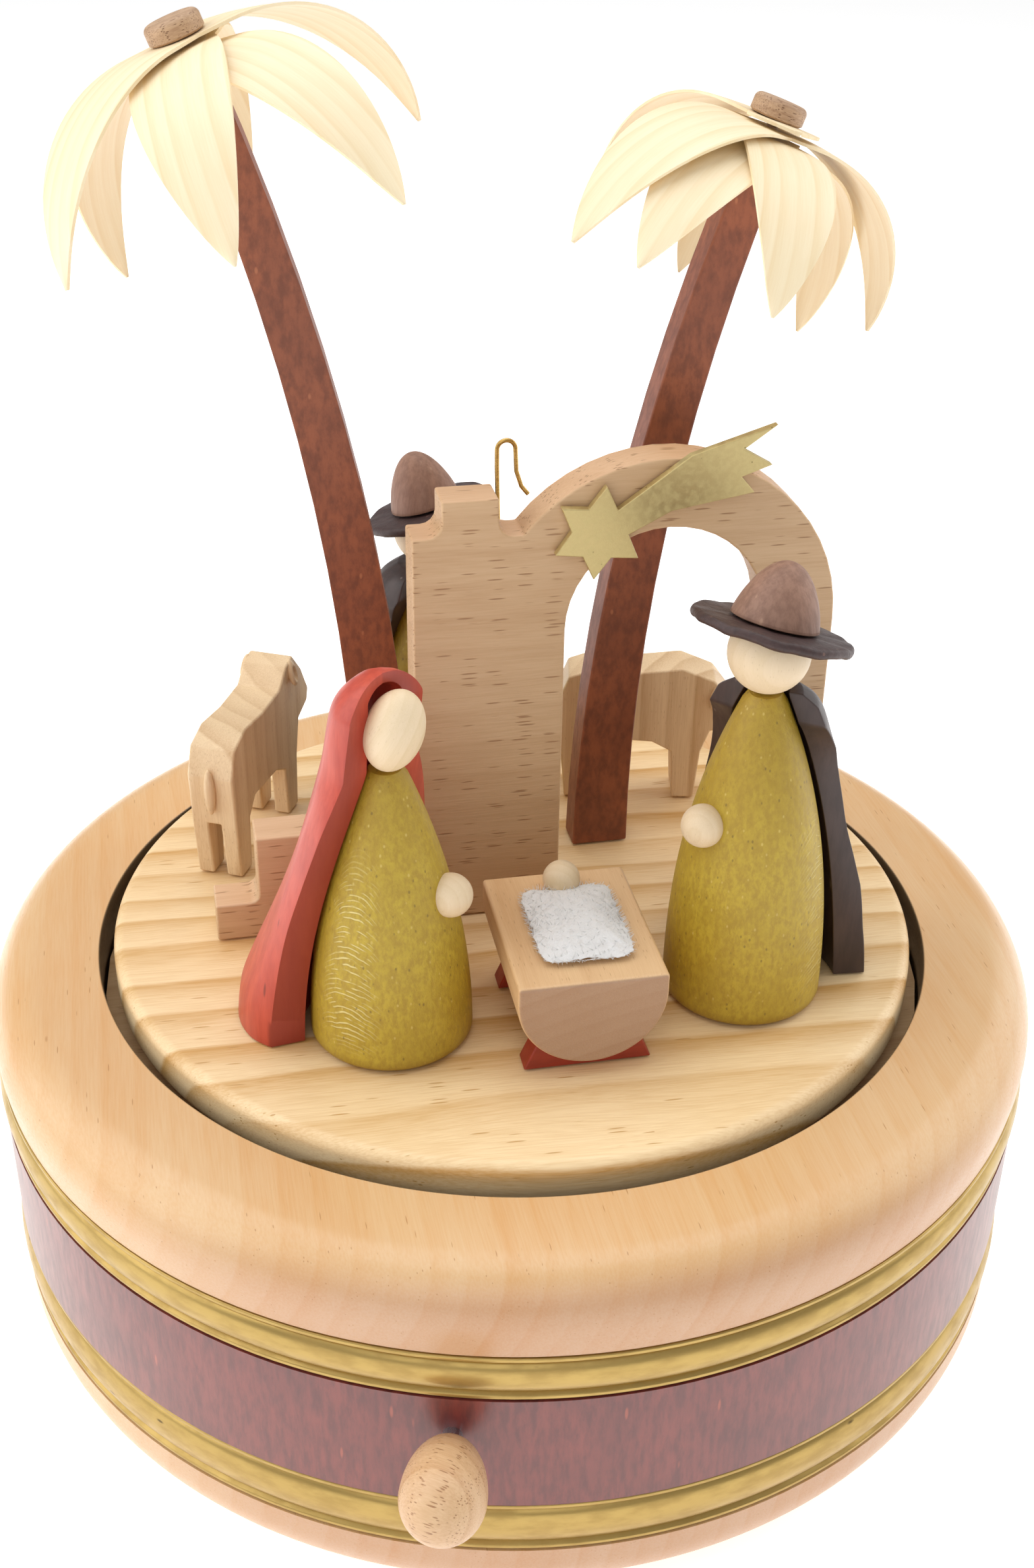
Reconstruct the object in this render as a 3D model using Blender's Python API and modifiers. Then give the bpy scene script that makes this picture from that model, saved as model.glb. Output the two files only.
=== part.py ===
"""Music box with a turning disc: wooden drum base, clockwork movement inside, carved scene on the disc.

Units are metres. The origin is the centre of the underside, +Z is up, and the arched wall on the disc
runs along X. Everything on the disc turns about Z; the stop knob pulls out along its own radius.
"""

import math

import bmesh
import bpy
from mathutils import Matrix, Vector

MM = 0.001
SEAT = 0.3 * MM              # gap left between pieces that rest on or in each other
RUNNING = 0.3 * MM           # gap round a turning shaft
ROUND_STEPS = 40             # facets round the large turned rings
FIGURE_STEPS = 20            # facets round the turned figures
SMALL_STEPS = 16             # facets round small turned pieces

# Drum base: five turned rings, one above the other
FOOT_TOP = 13.2 * MM
LOWER_BEAD_TOP = 23.1 * MM
BAND_TOP = 45.3 * MM
UPPER_BEAD_TOP = 53.7 * MM
RING_TOP = 67.0 * MM
BASE_RADIUS = 90.0 * MM
BAND_RADIUS = BASE_RADIUS - 0.2 * MM
BEAD_ROOT_RADIUS = BASE_RADIUS - 1.4 * MM
BEAD_CREST_RADIUS = BASE_RADIUS + 0.2 * MM
BEAD_LIP = 1.2 * MM
DRUM_WALL = 24.0 * MM
RING_WALL = 18.5 * MM
DRUM_BORE = BASE_RADIUS - DRUM_WALL
RING_BORE = BASE_RADIUS - RING_WALL
RING_ROUNDING = 8.0 * MM
RING_FLAT_RADIUS = BASE_RADIUS - RING_ROUNDING
FOOT_ROUNDING = 10.5 * MM

# Boards in the base, and the screws that hold them
BOTTOM_BOARD_RADIUS = BASE_RADIUS - 14.3 * MM
BOTTOM_BOARD_THICKNESS = 6.0 * MM
BOARD_SCREW_CIRCLE = BOTTOM_BOARD_RADIUS - 4.7 * MM
BOARD_SCREW_ANGLES = (90.0, 210.0, 330.0)
BOARD_SCREW_LENGTH = 11.0 * MM
BOARD_SCREW_RADIUS = 1.3 * MM
SCREW_HEAD_RADIUS = 3.0 * MM
SCREW_HEAD_HEIGHT = 1.6 * MM
MOUNT_BOARD_THICKNESS = 5.0 * MM
MOUNT_BOARD_Z = UPPER_BEAD_TOP + SEAT
MOUNT_BOARD_TOP = MOUNT_BOARD_Z + MOUNT_BOARD_THICKNESS
MOVEMENT_SCREW_RADIUS = 1.4 * MM
BUSH_RADIUS = 5.0 * MM
BUSH_FLANGE_RADIUS = 7.5 * MM
BUSH_FLANGE = 1.0 * MM

# Bedplate with its bearing blocks and the bracket of the governor
BEDPLATE_THICKNESS = 2.5 * MM
BEDPLATE_Z = UPPER_BEAD_TOP - BEDPLATE_THICKNESS
BEDPLATE_LOW_X = -48.0 * MM
BEDPLATE_HIGH_X = 9.0 * MM
BEDPLATE_LOW_Y = -42.0 * MM
BEDPLATE_HIGH_Y = 38.0 * MM
MOVEMENT_SCREWS = (
    (BEDPLATE_LOW_X + 4.0 * MM, BEDPLATE_HIGH_Y - 4.0 * MM),
    (BEDPLATE_HIGH_X - 4.0 * MM, BEDPLATE_HIGH_Y - 4.0 * MM),
    (BEDPLATE_LOW_X + 12.0 * MM, BEDPLATE_LOW_Y + 4.0 * MM),
)
BLOCK_THICKNESS = 2.5 * MM
BLOCK_HALF_WIDTH = 4.0 * MM
ARBOR_RADIUS = 1.5 * MM

# Spring barrel, great wheel and crown, with the winding key
BARREL_X = -21.0 * MM
BARREL_Y = 22.0 * MM
BARREL_RADIUS = 13.5 * MM
BARREL_FLOOR_Z = 24.0 * MM
GREAT_WHEEL_Z = 33.0 * MM
GREAT_WHEEL_THICKNESS = 2.5 * MM
GREAT_WHEEL_TEETH = 28
GREAT_WHEEL_TOP = GREAT_WHEEL_Z + GREAT_WHEEL_THICKNESS
CROWN_RADIUS = 11.0 * MM
CROWN_WIDTH = 3.4 * MM
CROWN_TEETH = 24
CROWN_BASE_Z = GREAT_WHEEL_TOP + 1.0 * MM
TOOTH_HEIGHT = 1.4 * MM
TOOTH_OVER_PITCH = 0.5 * MM  # part of a tooth beyond the pitch line
TOOTH_TAPER = 0.6
MESH_DISTANCE = math.hypot(BARREL_X, BARREL_Y)
MESH_ANGLE = math.atan2(BARREL_Y, BARREL_X)
SPUR_ROOT_RADIUS = MESH_DISTANCE / 2.0 + TOOTH_OVER_PITCH - TOOTH_HEIGHT
KEY_ARBOR_RADIUS = 2.0 * MM
KEY_COLLAR_RADIUS = 4.0 * MM
KEY_LOBE_RADIUS = 5.5 * MM
KEY_LOBE_OFFSET = 10.5 * MM
KEY_LOBE_Z = 7.5 * MM
KEY_THICKNESS = 2.0 * MM
KEY_POCKET_RADIUS = 19.0 * MM

# Pinned cylinder and comb
CYLINDER_Z = 43.0 * MM
CYLINDER_RADIUS = 6.5 * MM
CYLINDER_LENGTH = 34.2 * MM
CYLINDER_START_Y = 5.0 * MM
NOTES = 18
PINION_TEETH = 12
PINION_WIDTH = 3.6 * MM
PIN_HEIGHT = 0.45 * MM
PIN_SIZE = 0.5 * MM
COMB_CLEARANCE = 0.35 * MM
COMB_THICKNESS = 1.0 * MM
COMB_TOOTH_LENGTH = 10.0 * MM
COMB_DEPTH = 17.5 * MM
COMB_SLOT = 0.5 * MM
COMB_BLOCK_DEPTH = COMB_DEPTH - COMB_TOOTH_LENGTH - 1.0 * MM
COMB_TIP_X = BARREL_X - CYLINDER_RADIUS - PIN_HEIGHT - COMB_CLEARANCE
COMB_REAR_X = COMB_TIP_X - COMB_DEPTH
COMB_HIGH_Y = CYLINDER_START_Y - 0.4 * MM
COMB_LOW_Y = CYLINDER_START_Y - CYLINDER_LENGTH + 0.4 * MM
COMB_SCREW_RADIUS = 1.0 * MM
WORM_WHEEL_TEETH = 24
WORM_WHEEL_RADIUS = 8.0 * MM
WORM_WHEEL_ROOT = WORM_WHEEL_RADIUS + TOOTH_OVER_PITCH - TOOTH_HEIGHT
WORM_WHEEL_THICKNESS = 2.0 * MM
WORM_WHEEL_Y = CYLINDER_START_Y - CYLINDER_LENGTH - 2.6 * MM
NEAR_BLOCK_Y = BARREL_Y - 7.8 * MM
FAR_BLOCK_Y = WORM_WHEEL_Y - WORM_WHEEL_THICKNESS / 2.0 - 1.2 * MM - BLOCK_THICKNESS

# Governor: worm and fan on an upright arbor
GOVERNOR_X = -10.7 * MM
GOVERNOR_Y = WORM_WHEEL_Y
GOVERNOR_ARBOR_RADIUS = 0.7 * MM
GOVERNOR_ARM_Z = 27.0 * MM
GOVERNOR_ARM_THICKNESS = 2.0 * MM
WORM_CORE_RADIUS = 1.15 * MM
WORM_THREAD_RADIUS = 0.38 * MM
WORM_THREAD_CIRCLE = 1.3 * MM
WORM_HALF_LENGTH = 4.6 * MM
FAN_RADIUS = 6.0 * MM
FAN_Z = 29.8 * MM
FAN_HEIGHT = 4.0 * MM
BRACKET_X = GOVERNOR_X + 8.4 * MM
BRACKET_THICKNESS = 2.0 * MM

# Spindle that carries the disc
SPINDLE_RADIUS = 3.0 * MM
SPINDLE_FLANGE_RADIUS = 12.0 * MM
SPINDLE_TOP = 66.0 * MM

# Stop knob at the front of the drum
STOP_ANGLE = math.radians(253.2)
STOP_Z = 38.2 * MM
STOP_ROD_RADIUS = 1.5 * MM
STOP_TIP_RADIUS = 36.2 * MM   # distance of the rod's tip from the drum's axis
KNOB_LENGTH = 15.5 * MM
KNOB_RADIUS = 6.2 * MM
KNOB_WIDEST = 9.0 * MM
KNOB_STAND_OFF = 1.8 * MM
KNOB_NEAR_RADIUS = BASE_RADIUS + KNOB_STAND_OFF  # distance of the knob's inner end from the drum's axis

# Turning disc
DISC_GAP = 2.5 * MM
DISC_RADIUS = RING_BORE - DISC_GAP
DISC_THICKNESS = 8.0 * MM
DISC_TOP = 70.0 * MM
DISC_EDGE = 2.0 * MM
FLOOR = DISC_TOP + SEAT      # height at which the carved pieces stand

# Arched wall
WALL_THICKNESS = 7.0 * MM
STEP_LEFT_X = -51.5 * MM
STEP_MIDDLE_X = -44.2 * MM
PILLAR_LEFT_X = -17.3 * MM
PILLAR_RIGHT_X = 7.3 * MM
LOW_STEP_TOP = 77.2 * MM
HIGH_STEP_TOP = 89.6 * MM
SHOULDER_TOP = 140.6 * MM
MERLON_LEFT_X = -12.6 * MM
MERLON_RIGHT_X = -3.6 * MM
MERLON_TOP = 146.5 * MM
NOTCH_RIGHT_X = 0.2 * MM
SMALL_FILLET = 1.5 * MM
SHOULDER_FILLET = 2.4 * MM
ARCH_OUTER_X = 23.3 * MM
ARCH_OUTER_Z = 121.9 * MM
ARCH_OUTER_RADIUS = 29.5 * MM
OPENING_X = 23.9 * MM
OPENING_Z = 123.3 * MM
OPENING_RADIUS = OPENING_X - PILLAR_RIGHT_X

# Comet on the wall: a six-pointed star, and the points of its tail as (x, z)
COMET_X = 12.1 * MM
COMET_Z = 140.4 * MM
COMET_TIP_RADIUS = 7.8 * MM
COMET_INNER_RADIUS = 4.6 * MM
COMET_TURN = 24.0
COMET_THICKNESS = 1.5 * MM
COMET_TAIL = (
    (23.5 * MM, 143.4 * MM), (36.8 * MM, 145.6 * MM), (34.5 * MM, 148.3 * MM), (39.4 * MM, 150.0 * MM),
    (34.6 * MM, 152.8 * MM), (39.8 * MM, 156.5 * MM), (26.2 * MM, 152.3 * MM),
)

# Cradle
CRIB_X = 2.4 * MM
CRIB_Y = -34.3 * MM
CRIB_TURN = math.radians(-0.5)
CRIB_TOP = 87.7 * MM
CRIB_WIDTH = 23.2 * MM
CRIB_LENGTH = 30.6 * MM
CRIB_DEPTH = 15.0 * MM
ROCKER_WIDTH = 20.2 * MM
ROCKER_TOP_WIDTH = 15.8 * MM
ROCKER_THICKNESS = 4.0 * MM
ROCKER_SPACING = 21.2 * MM
PAD_LENGTH = 20.2 * MM
PAD_WIDTH = 14.6 * MM
PAD_CROWN = 2.6 * MM
PAD_EDGE = 0.9 * MM
PAD_OFFSET_X = 0.3 * MM
PAD_OFFSET_Y = -0.8 * MM
CRIB_HEAD_RADIUS = 3.0 * MM
CRIB_HEAD_OFFSET_X = 0.4 * MM
CRIB_HEAD_OFFSET_Y = 10.5 * MM
CRIB_HEAD_SINK = 1.2 * MM

# Figures: a robe runs from its base radius to its neck radius; bulge is the power of that curve
ROBE_RADIUS = 12.8 * MM
ROBE_NECK_RADIUS = 2.9 * MM
HOODED = {"x": -25.9 * MM, "y": -31.1 * MM, "top": 117.2 * MM, "bulge": 2.0}
HATTED = {"x": 32.0 * MM, "y": -30.6 * MM, "top": 124.0 * MM, "bulge": 2.4}
HERDSMAN = {"x": -8.5 * MM, "y": 34.5 * MM, "top": 120.0 * MM, "bulge": 2.4}
HEAD_RADIUS = 6.3 * MM
HAND_RADIUS = 3.4 * MM
HOODED_HAND = (-17.2 * MM, -36.25 * MM, 97.0 * MM)
HATTED_HAND = (22.3 * MM, -34.6 * MM, 103.8 * MM)
FACE_HALF_WIDTH = 4.4 * MM
FACE_HALF_HEIGHT = 6.4 * MM
FACE_CENTRE = (-24.8 * MM, -33.6 * MM, 124.5 * MM)
FACE_LEAN = math.radians(17.0)
HAT_RISE = 9.4 * MM           # from the robe's top to the brim
BRIM_THICKNESS = 1.6 * MM
CROWN_DOME_HEIGHT = 9.4 * MM
# Each hat leans by an angle towards a compass direction, both in degrees
HATTED_HAT = {"brim": 12.7 * MM, "crown": 6.8 * MM, "lean": 19.4, "towards": 33.8}
HERDSMAN_HAT = {"brim": 11.3 * MM, "crown": 6.2 * MM, "lean": 16.8, "towards": 152.4}

# Cloaks: height above the disc, outer radius at the back; the last rows close over the shoulders or head
CLOAK_GAP = 0.6 * MM
CLOAK_EDGE = 4.0 * MM         # thickness at the front edges near the top
CLOAK_EDGE_MORE = 1.5 * MM    # what is added to it at the hem
HOOD_ROWS = (
    (0.0, 26.4 * MM), (5.7 * MM, 25.4 * MM), (13.7 * MM, 22.0 * MM), (22.7 * MM, 17.8 * MM),
    (32.7 * MM, 14.0 * MM), (41.7 * MM, 11.2 * MM), (48.0 * MM, 9.6 * MM), (53.7 * MM, 8.6 * MM),
    (57.5 * MM, 7.4 * MM), (60.3 * MM, 5.2 * MM), (61.8 * MM, 2.8 * MM), (62.3 * MM, 0.0),
)
SHOULDER_ROWS = (
    (0.0, 24.0 * MM), (6.7 * MM, 22.6 * MM), (15.0 * MM, 19.7 * MM), (28.0 * MM, 15.6 * MM),
    (40.0 * MM, 12.6 * MM), (48.0 * MM, 10.6 * MM), (51.7 * MM, 8.8 * MM), (54.2 * MM, 5.6 * MM),
)
# turn is the direction of a cloak's back; hem and top are its half angles there, and power blends them;
# scale and tall multiply the rows, and flare is how far the hem stands off the robe
HOODED_CLOAK = {"turn": 128.0, "hem": 60.0, "top": 95.0, "power": 2.0, "scale": 1.0, "tall": 1.0,
                "flare": 0.8 * MM}
HATTED_CLOAK = {"turn": 50.5, "hem": 55.5, "top": 95.0, "power": 6.0, "scale": 1.0, "tall": 1.0,
                "flare": 2.4 * MM}
HERDSMAN_CLOAK = {"turn": 130.0, "hem": 72.0, "top": 95.0, "power": 6.0, "scale": 0.78, "tall": 0.925,
                  "flare": 0.5 * MM}
CLOAK_COLUMNS = 12

# Brass crook of the herdsman
CROOK_WIRE = 0.4 * MM
CROOK_FOOT = (4.3 * MM, 29.4 * MM)
CROOK_HEAD = (2.6 * MM, 29.9 * MM)
CROOK_BEND_Z = 142.0 * MM
CROOK_BEND_RADIUS = 1.6 * MM
CROOK_END = ((0.2 * MM, -4.0 * MM), (1.1 * MM, -6.8 * MM), (2.3 * MM, -8.3 * MM))  # from the bend's end, in X and Z
CROOK_SOCKET = 2.0 * MM

# Palms: each trunk is sawn as an arc; turn is the compass direction of its bend
PALM_THICKNESS = 6.0 * MM
PALM_FOOT_WIDTH = 10.2 * MM
PALM_HEAD_WIDTH = 6.2 * MM
LEFT_PALM = {"x": -19.4 * MM, "y": 19.9 * MM, "turn": 175.0, "bend": 377.0 * MM, "height": 136.3 * MM}
RIGHT_PALM = {"x": 19.5 * MM, "y": 18.2 * MM, "turn": 0.0, "bend": 346.6 * MM, "height": 122.4 * MM}
LEAF_THICKNESS = 0.5 * MM
LEAF_PITCH = LEAF_THICKNESS + 0.75 * MM
LEAF_FLAT = 5.5 * MM         # half length of a strip that lies flat on the palm's head
LEAF_BEND = 29.0 * MM
LEAF_HALF_WIDTH = 7.3 * MM
LEAF_ROOT = 0.22             # where on the sine outline a leaf leaves the hub
LEAF_STEPS = 10
# One strip makes two leaves: compass angle in degrees and length of each, lowest strip first
LEFT_LEAVES = (
    ((305.0, 46.6 * MM), (134.0, 52.1 * MM)),
    ((262.0, 45.1 * MM), (88.0, 48.1 * MM)),
    ((213.0, 43.6 * MM), (32.0, 49.1 * MM)),
)
RIGHT_LEAVES = (
    ((231.0, 41.5 * MM), (37.0, 50.0 * MM)),
    ((267.0, 41.9 * MM), (77.0, 50.5 * MM)),
    ((212.0, 45.0 * MM), (13.0, 46.5 * MM)),
    ((109.0, 49.5 * MM), (289.0, 7.0 * MM)),
)
BUTTON_RADIUS = 4.3 * MM
BUTTON_HEIGHT = 3.4 * MM
BUTTON_ROUNDING = 1.0 * MM
BUTTON_PIN_RADIUS = 0.9 * MM
BUTTON_PIN_DEPTH = 5.0 * MM

# Animals: sawn from a plank, with a slot between the legs; outlines as (along, up) from the feet
ANIMAL_THICKNESS = 8.4 * MM
LEG_SLOT = 2.4 * MM
LEG_SLOT_HEIGHT = 11.0 * MM
LEFT_ANIMAL = {"x": -43.5 * MM, "y": 29.3 * MM, "turn": 63.0}
RIGHT_ANIMAL = {"x": 27.8 * MM, "y": 34.7 * MM, "turn": -12.0}
ANIMAL_LEGS = ((-13.6, 0.0), (-9.0, 0.0), (-8.4, 9.8), (-5.6, 12.6), (4.4, 12.0), (8.4, 10.0), (9.1, 0.0),
               (13.7, 0.0))
RAISED_HEAD = ((14.4, 10.0), (16.2, 17.0), (20.6, 18.6), (21.4, 21.0), (18.4, 26.4), (14.6, 30.7),
               (11.6, 30.0), (8.0, 26.9))
LOWERED_HEAD = ((14.6, 10.0), (16.4, 14.6), (20.6, 14.0), (22.0, 16.2), (20.4, 20.6), (16.8, 25.0),
                (10.0, 27.5))
ANIMAL_BACK = ((0.0, 26.5), (-8.0, 27.3), (-13.2, 25.6), (-15.2, 20.8), (-14.6, 10.0))

parts = None
cutters = None
carrier = None


def start_scene():
    """Empties the file and makes the two collections."""
    global parts, cutters
    for old in list(bpy.data.objects):
        bpy.data.objects.remove(old, do_unlink=True)
    parts = bpy.data.collections.new("music_box")
    cutters = bpy.data.collections.new("cutters")
    bpy.context.scene.collection.children.link(parts)
    bpy.context.scene.collection.children.link(cutters)


def carry(name, location):
    """Makes the empty that carries the pieces put from now on; it stands on their joint's axis."""
    global carrier
    carrier = bpy.data.objects.new(name, None)
    carrier.empty_display_size = 10.0 * MM
    carrier.location = location
    parts.objects.link(carrier)
    bpy.context.view_layer.update()


def material(name, colour, roughness, metallic):
    """A Principled material with one colour."""
    made = bpy.data.materials.new(name)
    made.use_nodes = True
    shader = made.node_tree.nodes["Principled BSDF"]
    shader.inputs["Base Color"].default_value = (*colour, 1.0)
    shader.inputs["Roughness"].default_value = roughness
    shader.inputs["Metallic"].default_value = metallic
    return made


# Colour, roughness and metallic value of each finish
FINISHES = {
    "maple": ((0.86, 0.55, 0.28), 0.45, 0.0),
    "gold": ((0.72, 0.50, 0.22), 0.35, 0.0),
    "red_stain": ((0.17, 0.045, 0.045), 0.5, 0.0),
    "ash": ((0.90, 0.68, 0.40), 0.5, 0.0),
    "beech": ((0.60, 0.36, 0.19), 0.5, 0.0),
    "plywood": ((0.70, 0.50, 0.30), 0.6, 0.0),
    "comet_gold": ((0.50, 0.40, 0.16), 0.4, 0.0),
    "olive": ((0.48, 0.30, 0.03), 0.55, 0.0),
    "red_cloak": ((0.45, 0.07, 0.035), 0.5, 0.0),
    "dark_cloak": ((0.05, 0.03, 0.028), 0.55, 0.0),
    "hat_brown": ((0.22, 0.12, 0.08), 0.6, 0.0),
    "pale_wood": ((0.86, 0.74, 0.55), 0.5, 0.0),
    "limewood": ((0.80, 0.60, 0.38), 0.5, 0.0),
    "rocker_red": ((0.38, 0.03, 0.012), 0.5, 0.0),
    "fleece": ((0.90, 0.89, 0.87), 0.9, 0.0),
    "palm_brown": ((0.11, 0.028, 0.018), 0.5, 0.0),
    "veneer": ((0.93, 0.82, 0.60), 0.5, 0.0),
    "knob_beech": ((0.72, 0.48, 0.28), 0.5, 0.0),
    "steel": ((0.60, 0.60, 0.62), 0.3, 1.0),
    "brass": ((0.75, 0.55, 0.25), 0.3, 1.0),
    "cast_zinc": ((0.45, 0.45, 0.47), 0.5, 1.0),
}


def put(name, mesh, finish, place=None, smooth_angle=30.0):
    """Adds a finished mesh to the model as the object called name, on the current carrier."""
    obj = bpy.data.objects.new(name, mesh)
    parts.objects.link(obj)
    obj.parent = carrier
    obj.matrix_parent_inverse = carrier.matrix_world.inverted()
    if place is not None:
        obj.matrix_world = place
    mesh.shade_smooth()
    mesh.set_sharp_from_angle(angle=math.radians(smooth_angle))
    mesh.materials.clear()
    mesh.materials.append(material(f"{name}_{finish}", *FINISHES[finish]))
    return obj


def evaluated_mesh(obj):
    """The mesh of an object after its modifiers, and the object removed."""
    graph = bpy.context.evaluated_depsgraph_get()
    mesh = bpy.data.meshes.new_from_object(obj.evaluated_get(graph), depsgraph=graph)
    mesh.transform(obj.matrix_world)
    bpy.data.objects.remove(obj, do_unlink=True)
    return welded(mesh)


def welded(mesh):
    """Merges the points of a closed mesh that fall together and turns every face outwards."""
    draft = bmesh.new()
    draft.from_mesh(mesh)
    bmesh.ops.remove_doubles(draft, verts=draft.verts, dist=0.001 * MM)
    bmesh.ops.recalc_face_normals(draft, faces=draft.faces)
    draft.to_mesh(mesh)
    draft.free()
    return mesh


def turned(profile, steps=SMALL_STEPS):
    """A mesh turned about Z from (radius, height) points that run down the outer side and back up."""
    mesh = bpy.data.meshes.new("profile")
    draft = bmesh.new()
    ring = [draft.verts.new((radius, 0.0, height)) for radius, height in profile]
    for first, second in zip(ring, ring[1:]):
        draft.edges.new((first, second))
    if profile[0][0] > 0.0 or profile[-1][0] > 0.0:
        draft.edges.new((ring[-1], ring[0]))
    draft.to_mesh(mesh)
    draft.free()
    obj = bpy.data.objects.new("turning", mesh)
    parts.objects.link(obj)
    screw = obj.modifiers.new("turn", "SCREW")
    screw.steps = steps
    screw.render_steps = steps
    screw.use_merge_vertices = True
    screw.merge_threshold = 0.0001 * MM
    screw.use_normal_calculate = True
    bpy.context.view_layer.update()
    return evaluated_mesh(obj)


def rod(radius, low, high, steps=SMALL_STEPS):
    """A plain cylinder about Z between two heights."""
    return turned([(0.0, high), (radius, high), (radius, low), (0.0, low)], steps)


def moved(mesh, place):
    """The same mesh after a transform."""
    mesh.transform(place)
    return mesh


def box(low, high):
    """A box mesh between two corners."""
    mesh = bpy.data.meshes.new("box")
    draft = bmesh.new()
    bmesh.ops.create_cube(draft, size=1.0)
    size = Vector(high) - Vector(low)
    bmesh.ops.transform(draft, matrix=Matrix.Diagonal((*size, 1.0)), verts=draft.verts)
    bmesh.ops.translate(draft, vec=(Vector(high) + Vector(low)) / 2.0, verts=draft.verts)
    draft.to_mesh(mesh)
    draft.free()
    return mesh


def ball(radii, place, columns=16, rows=10):
    """A ball or egg with the given half sizes."""
    mesh = bpy.data.meshes.new("ball")
    draft = bmesh.new()
    bmesh.ops.create_uvsphere(draft, u_segments=columns, v_segments=rows, radius=1.0)
    bmesh.ops.transform(draft, matrix=place @ Matrix.Diagonal((*radii, 1.0)), verts=draft.verts)
    draft.to_mesh(mesh)
    draft.free()
    return mesh


def flat(outline, thickness, place):
    """A board sawn to a closed outline in XY, from z = 0 up to its thickness, then placed."""
    curve = bpy.data.curves.new("outline", "CURVE")
    curve.dimensions = "2D"
    curve.fill_mode = "BOTH"
    curve.extrude = thickness / 2.0
    line = curve.splines.new("POLY")
    line.points.add(len(outline) - 1)
    for point, (x, y) in zip(line.points, outline):
        point.co = (x, y, 0.0, 1.0)
    line.use_cyclic_u = True
    obj = bpy.data.objects.new("sawn", curve)
    parts.objects.link(obj)
    obj.matrix_world = place @ Matrix.Translation((0.0, 0.0, thickness / 2.0))
    bpy.context.view_layer.update()
    return evaluated_mesh(obj)


def wire(points, radius):
    """A round wire along points, with filled ends."""
    curve = bpy.data.curves.new("wire", "CURVE")
    curve.dimensions = "3D"
    curve.bevel_depth = radius
    curve.bevel_resolution = 1
    curve.use_fill_caps = True
    line = curve.splines.new("POLY")
    line.points.add(len(points) - 1)
    for point, co in zip(line.points, points):
        point.co = (*co, 1.0)
    obj = bpy.data.objects.new("wire", curve)
    parts.objects.link(obj)
    bpy.context.view_layer.update()
    return evaluated_mesh(obj)


def sheet(columns, rows, outer, inner):
    """A closed thick sheet: outer(u, v) and inner(u, v) give its two faces, with u and v from 0 to 1."""
    mesh = bpy.data.meshes.new("sheet")
    draft = bmesh.new()
    bmesh.ops.create_grid(draft, x_segments=columns, y_segments=rows, size=0.5)
    marks = {vert: (vert.co.x + 0.5, vert.co.y + 0.5) for vert in draft.verts}
    kept = list(draft.verts)
    grown = bmesh.ops.extrude_face_region(draft, geom=draft.faces[:], use_keep_orig=True)["geom"]
    copies = [item for item in grown if isinstance(item, bmesh.types.BMVert)]
    for vert in copies:
        u, v = vert.co.x + 0.5, vert.co.y + 0.5
        vert.co = inner(u, v)
    for vert in kept:
        vert.co = outer(*marks[vert])
    draft.to_mesh(mesh)
    draft.free()
    return welded(mesh)


def carve(obj, mesh, operation="DIFFERENCE"):
    """Cuts a mesh out of an object, or joins it on, with an exact Boolean."""
    tool = bpy.data.objects.new(f"{obj.name}_cutter", mesh)
    cutters.objects.link(tool)
    tool.hide_render = True
    tool.display_type = "WIRE"
    change = obj.modifiers.new(tool.name, "BOOLEAN")
    change.operation = operation
    change.solver = "EXACT"
    change.object = tool
    return obj


def arc(centre, radius, start, end, count):
    """Points on an arc, both ends included; angles in degrees."""
    span = math.radians(end - start)
    first = math.radians(start)
    return [
        (
            centre[0] + radius * math.cos(first + span * i / count),
            centre[1] + radius * math.sin(first + span * i / count),
        )
        for i in range(count + 1)
    ]


def at(x, y, z, turn=0.0):
    """A place in the part's frame, turned about Z by an angle in radians."""
    return Matrix.Translation((x, y, z)) @ Matrix.Rotation(turn, 4, "Z")


def upright(x, y, z, turn, thickness):
    """A place where a sawn board stands on edge: its outline in X and Z, its thickness about Y."""
    return at(x, y, z, turn) @ Matrix.Translation((0.0, thickness / 2.0, 0.0)) @ Matrix.Rotation(
        math.pi / 2.0, 4, "X")


def toothed(mesh, keep, height, taper):
    """Raises every face that keep(face) picks along its normal, and narrows its end, to make teeth or pins."""
    draft = bmesh.new()
    draft.from_mesh(mesh)
    chosen = [face for face in draft.faces if keep(face)]
    raised = bmesh.ops.extrude_discrete_faces(draft, faces=chosen)["faces"]
    for face in raised:
        normal = face.normal.copy()
        middle = face.calc_center_median()
        sides = [edge.verts[1].co - edge.verts[0].co for edge in face.edges]
        across = max(sides, key=lambda side: side.length).normalized()
        for vert in face.verts:
            offset = vert.co - middle
            along = across * offset.dot(across)
            vert.co = middle + along + (offset - along) * taper + normal * height
    draft.to_mesh(mesh)
    draft.free()
    return mesh


def every_second(middle, teeth):
    """True on every second of a wheel's facets, of which it has two for each tooth."""
    step = math.atan2(middle.y, middle.x) / math.pi * teeth
    return math.floor(step % (2.0 * teeth)) % 2 == 0


def rim_faces(teeth, low, high):
    """Picks the tooth faces on the outer side of a wheel between two heights."""
    def keep(face):
        middle = face.calc_center_median()
        if abs(face.normal.z) > 0.5 or not low < middle.z < high:
            return False
        if middle.xy.dot(face.normal.xy) < 0.0:
            return False
        return every_second(middle, teeth)
    return keep


def half_tooth(teeth):
    """The angle from a wheel's first facet edge to the middle of its first tooth."""
    return math.pi / (2.0 * teeth)


def spur_wheel(hub_radius, root_radius, teeth, low, high):
    """A toothed wheel about Z, to be joined to what it sits on."""
    wheel = turned([(hub_radius, high), (root_radius, high), (root_radius, low), (hub_radius, low)], 2 * teeth)
    return toothed(wheel, rim_faces(teeth, low, high), TOOTH_HEIGHT, TOOTH_TAPER)


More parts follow.
